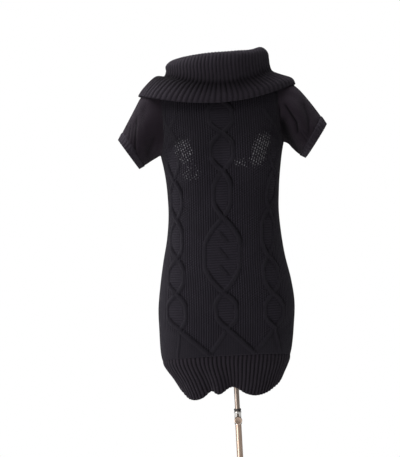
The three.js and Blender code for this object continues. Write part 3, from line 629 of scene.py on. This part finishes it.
# Soft creases of the panels: where one starts, across from the cloth's centre line and up, where it ends,
# its width and its depth
FRONT_CREASES = [
    (-150, 1262, -88, 1296, 9, 2.4), (-152, 1243, -104, 1216, 11, 1.8), (158, 1282, 104, 1302, 9, 2.6),
    (150, 1258, 96, 1222, 12, 1.9), (-60, 1190, 48, 1178, 17, 2.2), (-158, 1146, -96, 1128, 10, 1.7),
    (-160, 1104, -112, 1096, 8, 1.3), (154, 1150, 100, 1134, 11, 1.6), (152, 1096, 92, 1080, 9, 1.8),
    (150, 1060, 108, 1052, 8, 1.2), (-40, 1076, 50, 1068, 14, 1.2), (-190, 800, -120, 772, 14, 2.0),
    (176, 812, 118, 776, 13, 2.2), (-84, 778, -30, 752, 12, 1.6),
]
BACK_CREASES = [
    (-150, 1262, -92, 1290, 10, 2.2), (154, 1270, 96, 1300, 10, 2.4), (-120, 1176, 96, 1188, 19, 2.4),
    (-90, 1120, 132, 1110, 15, 2.6), (-140, 1074, 40, 1068, 13, 2.0), (-20, 1032, 140, 1042, 12, 1.6),
    (-186, 812, -110, 780, 14, 2.0), (180, 806, 96, 770, 15, 2.1), (-40, 790, 60, 764, 14, 1.4),
]


# The same for the fronts of the sleeves, as seen from the front. Their backs have similar ones.
SLEEVE_CREASES = {
    "left": [
        (-221, 1352, -228, 1244, 4, 3.2), (-229, 1336, -236, 1272, 3, 2.2),
        (-236, 1340, -244, 1284, 3, 2.4), (-245, 1334, -253, 1296, 3, 2),
        (-176, 1300, -196, 1256, 8, 1.8), (-196, 1392, -208, 1336, 9, 1.2),
    ],
    "right": [
        (163, 1364, 188, 1318, 5, 4.4), (187, 1322, 190, 1292, 5, 3.6), (146, 1362, 146, 1318, 5, 3),
        (152, 1328, 168, 1264, 16, 5.4), (213, 1366, 222, 1318, 6, 2.4), (221, 1322, 217, 1286, 5, 2.2),
        (198, 1292, 216, 1266, 3, 2), (205, 1296, 223, 1272, 3, 1.8),
    ],
}


def crease_at(creases, across, height):
    """How deep the creases are at a place, and how much painted shade lies in them."""
    depth, dark = 0, 0
    for a0, b0, a1, b1, width, deep in creases:
        run, rise = a1 - a0, b1 - b0
        length = math.hypot(run, rise)
        along = ((across - a0) * run + (height - b0) * rise) / length ** 2
        if not -0.3 < along < 1.3:
            continue
        off = ((height - b0) * run - (across - a0) * rise) / length
        taper = smooth((along + 0.25) / 0.4) * smooth((1.25 - along) / 0.5)
        depth += deep * bell(off, width) * taper
        # Painted shade along the crease's middle
        dark = max(dark, min(1, deep / 4) * bell(off, 0.6 * width) * taper)
    return depth, dark


# Where the stretched stitches over the bust let the form's pale cover show
STRETCHED = table(
    "s z wide tall lean amount",
    (-101, 1258, 27, 30, -0.15, 0.72), (-80, 1224, 16, 18, -0.3, 0.3), (-82, 1199, 27, 15, 0.3, 0.5),
    (99, 1252, 25, 42, 0.34, 0.98), (46, 1221, 19, 12, 0, 0.6),
)


def stretch_at(s, z):
    total = 0
    for patch in STRETCHED:
        across = (s - patch["s"] - patch["lean"] * (z - patch["z"])) / patch["wide"]
        reach = (abs(across) ** 3 + abs((z - patch["z"]) / patch["tall"]) ** 3) ** (1 / 3)
        total = max(total, patch["amount"] * smooth((1.3 - reach) / 0.6))
    return total


def panel(facing, grid, spread, creases, pattern):
    """A body panel. spread() gives its columns' places on the cloth, and pattern() its raised stitches."""
    columns, rows_below, rows_armhole, rows_shoulder = grid
    rows = rows_below + rows_armhole + rows_shoulder
    lines = {}
    seen = {}

    def row_of(step):
        if step <= rows_below:
            return step / rows_below
        if step <= rows_below + rows_armhole:
            return 1 + (step - rows_below) / rows_armhole
        return 2 + (step - rows_below - rows_armhole) / rows_shoulder

    def where(u, v):
        step = round(v * rows)
        if step not in lines:
            lines[step] = PanelRow(clamp(row_of(step), 0, 3), facing)
        row = lines[step]
        key = (round(u * columns), step)
        if key not in seen:
            s = spread(u if facing < 0 else 1 - u, row)
            point = panel_at(row.place(s), row.row, facing)
            point.y -= facing * SEAM
            seen[key] = (point, s, pattern(s, point.z) if pattern else (0, 0, 0, 0))
        return *seen[key], row

    def place(u, v):
        point, s, found, row = where(u, v)
        return point.copy(), s, point.z

    def raised(u, v):
        point, s, found, row = where(u, v)
        edge = min(s - row.left, row.right - s)
        fade = smooth(edge / 12) * smooth((2.9 - row.row) / 0.4)
        soft = 0.5 * uneven(s, point.z, 0.018, 3.1 * facing)
        seam = 0.8 * bell(edge, 3)
        return found[0] * fade + (soft - crease_at(creases, s, point.z)[0]) * smooth(edge / 20) - seam

    def marked(u, v):
        point, s, found, row = where(u, v)
        return found[2], found[1], stretch_at(s, point.z) if facing < 0 else 0, found[3]

    return knitted(columns, rows, place, raised, marked)


def even_spread(share, row):
    return mix(row.left, row.right, share)


def cable_density(share):
    """How close together the columns lie on the front: closer on the three cables than between them."""
    return 0.55 + sum(bell(share - middle, 0.1) for middle in (0.19, 0.5, 0.81))


SPREAD_STEPS = 400
spread_sums = [0]
for step in range(SPREAD_STEPS):
    spread_sums.append(spread_sums[-1] + cable_density((step + 0.5) / SPREAD_STEPS))


def cable_spread(share, row):
    """Places columns closer together on the cables than between them."""
    i, part = step_in(spread_sums, share * spread_sums[-1])
    return mix(row.left, row.right, (i + part) / SPREAD_STEPS)


def make_front(material):
    bm = panel(-1, FRONT_GRID, cable_spread, FRONT_CREASES, cable_relief)
    piece = cloth_piece("front_knit", bm, material, "knit", ["front"], CLOTH)


def make_back(material):
    bm = panel(1, BACK_GRID, even_spread, BACK_CREASES, None)
    piece = cloth_piece("back_knit", bm, material, "knit", ["back"], CLOTH)


def make_sleeve(side, material):
    turn = 1 if side == "left" else -1
    columns, rows = SLEEVE_GRID

    def spot(u, v):
        return turn * 360 * u % 360, CUFF_FROM * v

    def place(u, v):
        return sleeve_at(side, *spot(u, v)), 340 * u, 190 * v

    def creases(u, v):
        around, along = spot(u, v)
        point = sleeve_at(side, around, along)
        shift = 0 if around < 180 else 7
        depth, dark = crease_at(SLEEVE_CREASES[side], point.x + shift, point.z + shift)
        facing = smooth(abs(sin_cos(around)[0]) * 2.5)
        fade = facing * smooth(v / 0.06) * smooth((1 - v) / 0.04 + 0.4)
        return depth * fade, dark * fade

    def relief(u, v):
        around, along = spot(u, v)
        fold = 0.5 * sleeve_fold(side, around, along)
        soft = 0.9 * uneven_round(u, v * 3, 2, 7.7 * turn)
        tuck = 1.3 * (1 - smooth(v * rows / 1.5))
        return fold + soft * math.sin(math.pi * v) - creases(u, v)[0] - tuck

    # The sleeve's mark is the painted shade in its creases
    def marks(u, v):
        return 0, 0, 0, creases(u, v)[1]

    bm = knitted(columns, rows, place, relief, marks, around=True)
    bmesh.ops.recalc_face_normals(bm, faces=bm.faces)
    piece = cloth_piece(f"sleeve_{side}_knit", bm, material, "knit", [f"sleeve_{side}"], CLOTH)


def make_cuff(side, material):
    turn = 1 if side == "left" else -1

    def place(u, v):
        along = mix(CUFF_FROM - 0.015, 1, v)
        return sleeve_surface(side, turn * 360 * u % 360, along), 330 * u, 26 * v

    def relief(u, v):
        wander = 0.15 * uneven_round(u, 0, 3, 5.2 * turn, v)
        tuck = 1.6 * (1 - smooth(v * 5))
        return CUFF_RIB_HEIGHT * rib(u * CUFF_RIBS + wander) * smooth(v * 4) - tuck

    bm = knitted(CUFF_RIBS * CUFF_GRID[0], CUFF_GRID[1], place, relief, around=True)
    bmesh.ops.recalc_face_normals(bm, faces=bm.faces)
    piece = cloth_piece(f"cuff_{side}_rib", bm, material, "rib_knit", [f"cuff_{side}"], CLOTH)


def make_hem(name, facing, node, material):
    start, end = (-90, 90) if facing < 0 else (90, 270)
    angle_of, length = along_curve(lambda angle: hem_at(angle, 0.3, facing), start, end)

    def place(u, v):
        point = hem_at(angle_of(u), 1 - v, facing)
        point.y -= facing * SEAM
        point.z += 1.6 * smooth((v - 0.9) / 0.1)
        return point, u * length, v * 85

    def rib_at(u, v):
        return rib(u * HEM_RIBS + 0.12 * uneven(u * 12, v * 2, 1, 4.4 * facing))

    def relief(u, v):
        ends = smooth(min(u, 1 - u) / 0.01)
        tuck = 1.4 * smooth((v - 0.95) / 0.04)
        return HEM_RIB_HEIGHT * rib_at(u, v) * (0.45 + 0.55 * smooth((1 - v) * 5)) * ends - tuck

    # Painted shade in the furrows between the ribs
    def marks(u, v):
        return 0, 0, 0, min(1, 1.3 * (1 - rib_at(u, v)))

    bm = knitted(HEM_RIBS * HEM_GRID[0], HEM_GRID[1], place, relief, marks)
    piece = cloth_piece(name, bm, material, "rib_knit", [node], RIBBED_CLOTH)


def make_collar(material):
    angle_of, length = along_curve(lambda angle: collar_at(angle, 0.3), -180, 180)
    ribs = round(length / COLLAR_RIB_PITCH)
    free = COLLAR_REACH[-1]["along"]

    def base(u, v):
        angle = angle_of(u)
        if v < free:
            return collar_at(angle, v)
        s, c = sin_cos(angle)
        seam = neckline_at(angle) + Vector((-s, c, 0)) * CLOTH
        return collar_at(angle, free).lerp(seam, (v - free) / (1 - free))

    def place(u, v):
        return base(u, v), u * length, v * COLLAR_LENGTH

    def rib_at(u, v):
        return rib(u * ribs + 0.2 * uneven_round(u, v * 2, 3, 9.1))

    def relief(u, v):
        fade = smooth(v / 0.02 + 0.6) * (1 - 0.55 * smooth((v - 0.6) / 0.2))
        slump = 1.6 * uneven_round(u, v * 1.5, 2.2, 2.6)
        return COLLAR_RIB_HEIGHT * rib_at(u, v) * fade + slump * smooth(v * 8) * (v < free)

    # Painted shade in the furrows between the ribs and along the fold, heavier on the left, where the key
    # light falls
    def marks(u, v):
        lit_side = max(0, -sin_cos(angle_of(u))[0])
        shade = (0.5 + 0.4 * lit_side) * bell(v - COLLAR_FOLD["along"], COLLAR_FOLD["width"])
        return 0, 0, 0, 0.7 * (1 - rib_at(u, v)) + shade

    bm = knitted(ribs * COLLAR_GRID[0], COLLAR_GRID[1], place, relief, marks, around=True)
    piece = cloth_piece("collar_rib", bm, material, "rib_knit", ["collar"], RIBBED_CLOTH)


# Dress form and stand

def form_point(share_angle, z):
    s, c = math.sin(share_angle), math.cos(share_angle)
    facing = -1 if c >= -1e-9 else 1
    share = math.copysign(abs(s) ** (2 / FULLNESS), s)
    depth_share = abs(c) ** (2 / FULLNESS)
    if z > FORM_EASE[-1]["z"]:
        at = {side: form_top[side](z) for side in SIDES}
    else:
        at = {side: torso_side[side](z) - CLOTH - form_ease(z) for side in SIDES}
    half = (at["left"] + at["right"]) / 2
    middle = (at["right"] - at["left"]) / 2
    depth = at["front" if facing < 0 else "back"] * depth_share
    if facing < 0:
        depth += bust(half * share, z, BUST["form_width"]) * abs(c)
    return Vector((middle + half * share, facing * depth, z))


def make_form(material):
    """The dress form: a grid rolled round the torso, closed at its foot and at its neck."""
    bm = bmesh.new()
    top = FORM_TOP[-1]["z"]
    bmesh.ops.create_grid(bm, x_segments=FORM_GRID[0], y_segments=FORM_GRID[1], size=0.5)
    lengths = {}
    for vert in bm.verts:
        u, v = vert.co.x + 0.5, vert.co.y + 0.5
        lengths[vert.index] = (u * 0.95, v * 0.8)
        vert.co = form_point(TURN * u - math.pi, mix(FORM_BOTTOM, top, v)) * MM
    lay_cloth(bm, lengths)
    bmesh.ops.remove_doubles(bm, verts=bm.verts, dist=1e-6)
    rims = [edge for edge in bm.edges if edge.is_boundary]
    caps = bmesh.ops.holes_fill(bm, edges=rims, sides=0)["faces"]
    bmesh.ops.inset_region(bm, faces=caps, thickness=0.004, depth=0)
    bmesh.ops.recalc_face_normals(bm, faces=bm.faces)
    finish_piece("form_torso", bm, material, "form", "form_cover", ["dress_form"])


def turned(name, profile, material, body, slot, replaced, sides=64, closed=True, centre=(0, 0, 0), axis="Z"):
    """A turned piece: a profile of (radius, height) in millimetres, spun once about its axis."""
    bm = bmesh.new()
    verts = [bm.verts.new(Vector((radius, 0, height)) * MM) for radius, height in profile]
    line = verts + [verts[0]] if closed else verts
    edges = [bm.edges.new((a, b)) for a, b in zip(line, line[1:])]
    bmesh.ops.spin(
        bm, geom=verts + edges, cent=(0, 0, 0), axis=(0, 0, 1), angle=TURN, steps=sides, use_merge=True,
        use_duplicate=False,
    )
    bmesh.ops.remove_doubles(bm, verts=bm.verts, dist=1e-6)
    bmesh.ops.recalc_face_normals(bm, faces=bm.faces)
    if axis == "-Y":
        bmesh.ops.rotate(bm, verts=bm.verts, cent=(0, 0, 0), matrix=Matrix.Rotation(QUARTER, 3, "X"))
    bmesh.ops.translate(bm, verts=bm.verts, vec=Vector(centre) * MM)
    sharp = [edge for edge in bm.edges if len(edge.link_faces) == 2 and edge.calc_face_angle() > 0.6]
    for edge in sharp:
        edge.smooth = False
    return finish_piece(name, bm, material, body, slot, replaced)


def node_size(node):
    """A CAD node's lowest and highest corners, in millimetres."""
    low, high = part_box(node)
    return Vector(low) / MM, Vector(high) / MM


def make_tube(name, node, bore, material, body, slot):
    low, high = node_size(node)
    radius, soften = high.x, 0.3
    profile = [
        (bore, low.z), (radius - soften, low.z), (radius, low.z + soften), (radius, high.z - soften),
        (radius - soften, high.z), (bore, high.z),
    ]
    turned(name, profile, material, body, slot, [node])


def make_base(material):
    low, high = node_size("base")
    radius, rim, thick, boss, bore = high.x, 4, 9, 19, 8.3
    profile = [
        (0, low.z), (radius - rim, low.z), (radius - 1, low.z + 1.2), (radius, low.z + rim),
        (radius - 1.2, low.z + 7), (radius - rim, thick), (boss + 14, thick + 2), (boss + 5, thick + 5),
        (boss, thick + 10), (boss - 3, high.z - 3), (boss - 4.5, high.z), (bore, high.z), (bore, thick),
        (0, thick),
    ]
    turned("base_plate", profile, material, "stand", "base_paint", ["base"], sides=96, closed=False)


def make_knob(material):
    """The clamp's knob: a coin-edged disc on its screw stem, facing the front."""
    low, high = node_size("clamp_knob")
    radius = (high.x - low.x) / 2
    middle = (high.z + low.z) / 2
    reach = high.y - low.y
    disc, stem = 7, 3
    profile = [
        (0, 0), (stem, 0), (stem, reach - disc), (radius - 1.6, reach - disc), (radius, reach - disc + 1.4),
        (radius, reach - 1.6), (radius - 0.5, reach - 0.5), (radius - 1.8, reach), (radius - 3, reach - 0.5),
        (0, reach - 0.3),
    ]
    grooves = 24
    piece = turned(
        "clamp_knob_disc", profile, material, "knob", "brassy_steel", ["clamp_knob"], sides=grooves * 4,
        centre=(0, high.y, middle), axis="-Y", closed=False,
    )
    for vert in piece.data.vertices:
        x, z = vert.co.x, vert.co.z - middle * MM
        far = math.hypot(x, z)
        if far > (radius - 0.6) * MM:
            cut = 0.6 * MM * (0.5 + 0.5 * math.cos(grooves * math.atan2(z, x)))
            vert.co.x -= x / far * cut
            vert.co.z -= z / far * cut


def make_clamp(material):
    low, high = node_size("clamp")
    radius, recess, bore, step = high.x, 8.3, 6.9, 572.3
    profile = [
        (recess, low.z), (radius - 0.5, low.z), (radius, low.z + 0.5), (radius, low.z + 5),
        (radius - 0.6, low.z + 6), (radius - 0.6, high.z - 7), (radius, high.z - 6),
        (radius, high.z - 0.8), (radius - 0.8, high.z), (bore, high.z), (bore, step), (recess, step),
    ]
    turned("clamp_body", profile, material, "stand", "chrome", ["clamp"])


def make_flange(material):
    low, high = node_size("form_flange")
    radius, boss, bore, thick = high.x, 12, 6.8, 5
    profile = [
        (bore, low.z), (boss - 1, low.z), (boss, low.z + 1), (boss, high.z - thick - 4),
        (boss + 4, high.z - thick), (radius - 1, high.z - thick), (radius, high.z - thick + 1),
        (radius, high.z), (bore, high.z),
    ]
    turned("form_flange_plate", profile, material, "form", "chrome", ["form_flange"])


# Materials

class Varying:
    """A value that varies over a surface. Arithmetic with it makes Math nodes."""

    def __init__(self, recipe, socket):
        self.recipe = recipe
        self.socket = socket

    def __add__(self, other):
        return self.recipe.math("ADD", self, other)

    def __sub__(self, other):
        return self.recipe.math("SUBTRACT", self, other)

    def __rsub__(self, other):
        return self.recipe.math("SUBTRACT", other, self)

    def __mul__(self, other):
        return self.recipe.math("MULTIPLY", self, other)

    def __truediv__(self, other):
        return self.recipe.math("DIVIDE", self, other)

    def __abs__(self):
        return self.recipe.math("ABSOLUTE", self)


class Recipe:
    """A material's node tree, with short calls for the nodes that it needs."""

    def __init__(self, name):
        self.material = bpy.data.materials.new(name)
        self.material.use_nodes = True
        self.nodes = self.material.node_tree.nodes
        self.links = self.material.node_tree.links
        self.shader = self.nodes["Principled BSDF"]

    def put(self, socket, value):
        if isinstance(value, Varying):
            self.links.new(value.socket, socket)
        else:
            socket.default_value = value

    def node(self, kind, output=0, settings=None, **inputs):
        node = self.nodes.new(kind)
        for key, value in (settings or {}).items():
            setattr(node, key, value)
        for key, value in inputs.items():
            self.put(node.inputs[key], value)
        return Varying(self, node.outputs[output])

    def math(self, operation, *values):
        node = self.nodes.new("ShaderNodeMath")
        node.operation = operation
        for socket, value in zip(node.inputs, values):
            self.put(socket, value)
        return Varying(self, node.outputs[0])

    def colour(self, share, a, b):
        node = self.nodes.new("ShaderNodeMix")
        node.data_type = "RGBA"
        for i, value in ((0, share), (6, a), (7, b)):
            self.put(node.inputs[i], value)
        return Varying(self, node.outputs[2])

    def noise(self, vector, scale, detail=3.0, roughness=0.55):
        inputs = dict(Vector=vector, Scale=scale, Detail=detail, Roughness=roughness)
        return self.node("ShaderNodeTexNoise", **inputs)

    def attribute(self, name):
        return self.node("ShaderNodeAttribute", output=2, settings={"attribute_name": name})

    def cloth_coordinates(self):
        uv = self.node("ShaderNodeUVMap", settings={"uv_map": "cloth"})
        split = self.nodes.new("ShaderNodeSeparateXYZ")
        self.put(split.inputs[0], uv)
        return uv, Varying(self, split.outputs[0]), Varying(self, split.outputs[1])

    def object_coordinates(self):
        return self.node("ShaderNodeTexCoord", output=3)

    def surface(self, colour, roughness, height, distance, strength=1.0):
        """Gives the shader its colour, roughness and bump, and hands over the material."""
        bump = self.node("ShaderNodeBump", Height=height, Distance=distance, Strength=strength)
        for name, value in (("Base Color", colour), ("Roughness", roughness), ("Normal", bump)):
            self.put(self.shader.inputs[name], value)
        return self.material


# Knitted stitches, wide and tall in metres
FRONT_STITCH = (0.0026, 0.0021)
PLAIN_STITCH = (0.0028, 0.0021)
RIB_STITCH = (0.0029, 0.0024)
GROUND_RIB = 0.0062
PURL_ROW = 0.0064
GAP = dict(wide=0.0071, tall=0.007, lean=0.38)

# The yarn's colours: its painted shade for furrows, its mid tone, its pale tone for patches that also serves
# as painted light on crests, and its warm tone; the ribs' painted light on their crests; and the form's pale
# cover as it shows through the knit, darkened with painted shade
YARN_SHADED = (0.0024, 0.0019, 0.0028, 1)
YARN = (0.0118, 0.0102, 0.0142, 1)
YARN_PALE_AND_CREST_LIT = (0.0265, 0.0235, 0.031, 1)
YARN_WARM = (0.0175, 0.0105, 0.0155, 1)
RIB_CREST_LIT = (0.05, 0.0432, 0.0555, 1)
COVER_SEEN_IN_SHADE = (0.125, 0.122, 0.13, 1)
YARN_ROUGHNESS = 0.92


def stitches(recipe, s, t, size):
    """The height of plain knit: rows of V-shaped stitches."""
    wide, tall = size
    side = abs(recipe.math("FRACT", s / wide) - 0.5) * 2.0
    loops = abs(recipe.math("SINE", (t / tall + side * 0.8) * math.pi))
    legs = recipe.math("SINE", side * math.pi)
    rounded = recipe.math("POWER", recipe.math("MAXIMUM", legs, 0.0001), 0.6)
    return rounded * (loops * 0.6 + 0.4)


def yarn(recipe, height, uv, warmth=0.0, light=YARN_PALE_AND_CREST_LIT):
    """The yarn's heathered near-black colour, with painted light on its crests and painted shade in its
    furrows and along the cloth's furrow mark.
    """
    heather = recipe.noise(uv, 420.0, 4.0, 0.7)
    patches = recipe.noise(uv, 14.0)
    # Painted light and shade: lighter as the stitch rises, darker down in it
    crest = recipe.math("POWER", recipe.math("MAXIMUM", height, 0.0001), 1.4)
    base = recipe.colour(crest, YARN_SHADED, light)
    base = recipe.colour(heather * 0.3, base, YARN)
    base = recipe.colour(patches * 0.22, base, YARN_PALE_AND_CREST_LIT)
    base = recipe.colour(warmth, base, YARN_WARM)
    inputs = recipe.shader.inputs
    inputs["Sheen Weight"].default_value = 0.035
    inputs["Sheen Roughness"].default_value = 0.4
    inputs["Sheen Tint"].default_value = (0.9, 0.86, 0.96, 1)
    inputs["Specular IOR Level"].default_value = 0.04
    # Painted shade where the furrow mark lies
    return recipe.colour(recipe.attribute("furrow_and_shade") * 0.95, base, YARN_SHADED)


def stitched_material(name, size, grain, warmth, light=YARN_PALE_AND_CREST_LIT):
    """Plain knit with fuzz on it."""
    recipe = Recipe(name)
    uv, s, t = recipe.cloth_coordinates()
    height = stitches(recipe, s, t, size)
    colour = yarn(recipe, height, uv, warmth, light)
    return recipe.surface(colour, YARN_ROUGHNESS, height + recipe.noise(uv, grain, 5.0, 0.8) * 0.5, 0.0013)


def plain_knit_material(name, warmth):
    return stitched_material(name, PLAIN_STITCH, 900.0, warmth)


def rib_knit_material():
    return stitched_material("rib_knit", RIB_STITCH, 800.0, 0.15, RIB_CREST_LIT)


def cable_knit_material():
    """The front's ground is fine ribs. Loops hold ladders of purl rows, and strands are plain knit."""
    recipe = Recipe("cable_knit")
    uv, s, t = recipe.cloth_coordinates()

    def blend(share, a, b):
        return a * (1.0 - share) + b * share

    plain = stitches(recipe, s, t, FRONT_STITCH)
    ribs = abs(recipe.math("COSINE", s * (math.pi / GROUND_RIB)))
    seeds = t / PURL_ROW + recipe.math("FLOOR", s / GROUND_RIB) * 0.5
    broken = abs(recipe.math("SINE", seeds * math.pi)) * 0.95 + 0.12
    grainy = recipe.math("MAXIMUM", recipe.noise(uv, 22.0) - 0.36, 0.0) * 5.0
    ground = (ribs + 0.06) * blend(recipe.math("MINIMUM", grainy, 1.0), plain * 0.4 + 0.45, broken)
    purl = abs(recipe.math("SINE", t * (math.pi / PURL_ROW))) * 0.4 + (plain * 0.2 + 0.2)
    strand = recipe.attribute("strand")
    height = blend(strand, blend(recipe.attribute("ladder"), ground, purl), plain * 0.6 + 0.3)
    opened = gaps_between_stitches(recipe, uv, s, t) * (1.0 - strand * 0.8)
    # The gaps show the form's pale cover, darkened with painted shade
    colour = recipe.colour(opened, yarn(recipe, height, uv), COVER_SEEN_IN_SHADE)
    return recipe.surface(colour, YARN_ROUGHNESS, height + recipe.noise(uv, 900.0, 5.0, 0.8) * 0.4, 0.0026)


def gaps_between_stitches(recipe, uv, s, t):
    """Small upright gaps in slanting columns, uneven in size, where a stretched knit opens."""
    stretch = recipe.attribute("stretch")
    column = (abs(s) - t * GAP["lean"]) / GAP["wide"]
    row = t / GAP["tall"] + recipe.math("FLOOR", column) * 0.5

    def peak(value):
        return 1.0 - abs(recipe.math("FRACT", value) - 0.5) * 2.0

    across = peak(column) - 0.53
    up = (peak(row) - 0.3) * 0.7
    vary = (recipe.noise(uv, 150.0, 2.0) - 0.52) * 1.3
    size = recipe.math("MINIMUM", across, up) + vary - (1.0 - stretch) * 0.4
    opened = recipe.math("MINIMUM", recipe.math("MAXIMUM", size, 0.0) * 6.0, 1.0)
    return opened * recipe.math("MINIMUM", stretch * 2.5, 1.0)


def form_cover_material():
    """Pale cotton jersey, with a fine weave and slight shading from handling."""
    recipe = Recipe("form_cover")
    place = recipe.object_coordinates()
    weave = recipe.node("ShaderNodeTexWave", output=1, settings={"bands_direction": "Z"}, Vector=place,
                        Scale=700.0, Distortion=1.5)
    grime = recipe.noise(place, 9.0, 4.0)
    recipe.shader.inputs["Sheen Weight"].default_value = 0.2
    colour = recipe.colour(grime, (0.74, 0.7, 0.62, 1), (0.86, 0.83, 0.76, 1))
    return recipe.surface(colour, 0.85, weave, 0.0003, 0.5)


def metal_material(name, dark, light, roughness):
    """Polished metal with faint rubbing marks along the tube and a cloudy finish."""
    recipe = Recipe(name)
    place = recipe.object_coordinates()
    stretched = recipe.node("ShaderNodeMapping", Vector=place, Scale=(1.0, 1.0, 0.04))
    marks = recipe.noise(stretched, 900.0)
    recipe.shader.inputs["Metallic"].default_value = 1.0
    colour = recipe.colour(recipe.noise(place, 30.0), dark, light)
    return recipe.surface(colour, marks * 0.12 + roughness, marks, 0.00005, 0.4)


def rubber_material():
    recipe = Recipe("rubber")
    grain = recipe.noise(recipe.object_coordinates(), 1500.0)
    colour = recipe.colour(grain, (0.006, 0.006, 0.007, 1), (0.016, 0.016, 0.017, 1))
    return recipe.surface(colour, 0.7, grain, 0.0002, 0.6)


def base_paint_material():
    recipe = Recipe("base_paint")
    place = recipe.object_coordinates()
    scuffs = recipe.noise(place, 16.0, 5.0, 0.7)
    colour = recipe.colour(scuffs, (0.56, 0.54, 0.51, 1), (0.68, 0.66, 0.63, 1))
    return recipe.surface(colour, scuffs * 0.25 + 0.34, recipe.noise(place, 1200.0, 2.0), 0.0002, 0.3)


# The view and the light

CAMERA = dict(distance=3.3, height=1.062, side=-0.072, roll=3.1, lens=100)
FLOOR_RADIUS = 2.3
SKY_STRENGTH = 0.46


def make_camera():
    camera = add_to_scene("camera", bpy.data.cameras.new("camera"))
    camera.data.lens = CAMERA["lens"]
    camera.location = (CAMERA["side"], -CAMERA["distance"], CAMERA["height"])
    level = Matrix.Rotation(QUARTER, 4, "X")
    roll = Matrix.Rotation(math.radians(-CAMERA["roll"]), 4, "Z")
    camera.rotation_euler = (level @ roll).to_euler()
    bpy.context.scene.camera = camera


def make_light(name, place, size, power):
    light = add_to_scene(name, bpy.data.lights.new(name, "AREA"))
    light.data.size = size
    light.data.energy = power
    light.location = place
    aim = Vector((0, 0, 1.1)) - light.location
    light.rotation_euler = aim.to_track_quat("-Z", "Y").to_euler()


def make_studio():
    scene = bpy.context.scene
    scene.view_settings.view_transform = "Standard"
    scene.view_settings.look = "None"
    world = bpy.data.worlds.new("studio")
    scene.world = world
    world.use_nodes = True
    nodes, links = world.node_tree.nodes, world.node_tree.links
    soft, paper = nodes["Background"], nodes.new("ShaderNodeBackground")
    soft.inputs["Strength"].default_value = SKY_STRENGTH
    for background in (soft, paper):
        background.inputs["Color"].default_value = (1, 1, 1, 1)
    seen = nodes.new("ShaderNodeLightPath")
    both = nodes.new("ShaderNodeMixShader")
    links.new(seen.outputs["Is Camera Ray"], both.inputs[0])
    links.new(soft.outputs[0], both.inputs[1])
    links.new(paper.outputs[0], both.inputs[2])
    links.new(both.outputs[0], nodes["World Output"].inputs[0])
    make_light("key", (-2.6, -1.9, 0.4), 1.0, 70)
    make_light("top", (-0.5, 0.12, 3.2), 2.0, 140)
    make_light("rim", (-2.6, 1.2, 1.4), 1.2, 30)
    bm = bmesh.new()
    bmesh.ops.create_circle(bm, cap_ends=True, segments=96, radius=FLOOR_RADIUS)
    mesh = bpy.data.meshes.new("floor")
    bm.to_mesh(mesh)
    bm.free()
    floor = add_to_scene("floor", mesh)
    recipe = Recipe("floor")
    grain = recipe.noise(recipe.object_coordinates(), 4.0)
    colour = recipe.colour(grain, (0.8, 0.8, 0.79, 1), (0.84, 0.84, 0.83, 1))
    recipe.put(recipe.shader.inputs["Base Color"], colour)
    recipe.shader.inputs["Roughness"].default_value = 0.75
    mesh.materials.append(recipe.material)


# Building the object

make_camera()
make_studio()
cable_knit = cable_knit_material()
plain_knit = plain_knit_material("plain_knit", 0.0)
sleeve_knit = plain_knit_material("sleeve_knit", 0.45)
rib_knit = rib_knit_material()
brassy_steel = metal_material("brassy_steel", (0.3, 0.225, 0.18, 1), (0.42, 0.32, 0.255, 1), 0.34)
shaded_steel = metal_material("shaded_steel", (0.2, 0.16, 0.135, 1), (0.29, 0.235, 0.2, 1), 0.36)
chrome = metal_material("chrome", (0.34, 0.33, 0.32, 1), (0.5, 0.49, 0.48, 1), 0.12)

make_front(cable_knit)
make_back(plain_knit)
for side in ("left", "right"):
    make_sleeve(side, sleeve_knit)
    make_cuff(side, rib_knit)
make_hem("hem_front_rib", -1, "hem_front", rib_knit)
make_hem("hem_back_rib", 1, "hem_back", rib_knit)
make_collar(rib_knit)
make_form(form_cover_material())
make_tube("upper_tube_metal", "upper_tube", 5.3, shaded_steel, "mast", "brassy_steel")
make_tube("lower_tube_metal", "lower_tube", 6.9, brassy_steel, "stand", "brassy_steel")
make_tube("grip_ring_rubber", "grip_ring", 6.8, rubber_material(), "stand", "rubber")
make_base(base_paint_material())
make_knob(brassy_steel)
make_clamp(chrome)
make_flange(chrome)
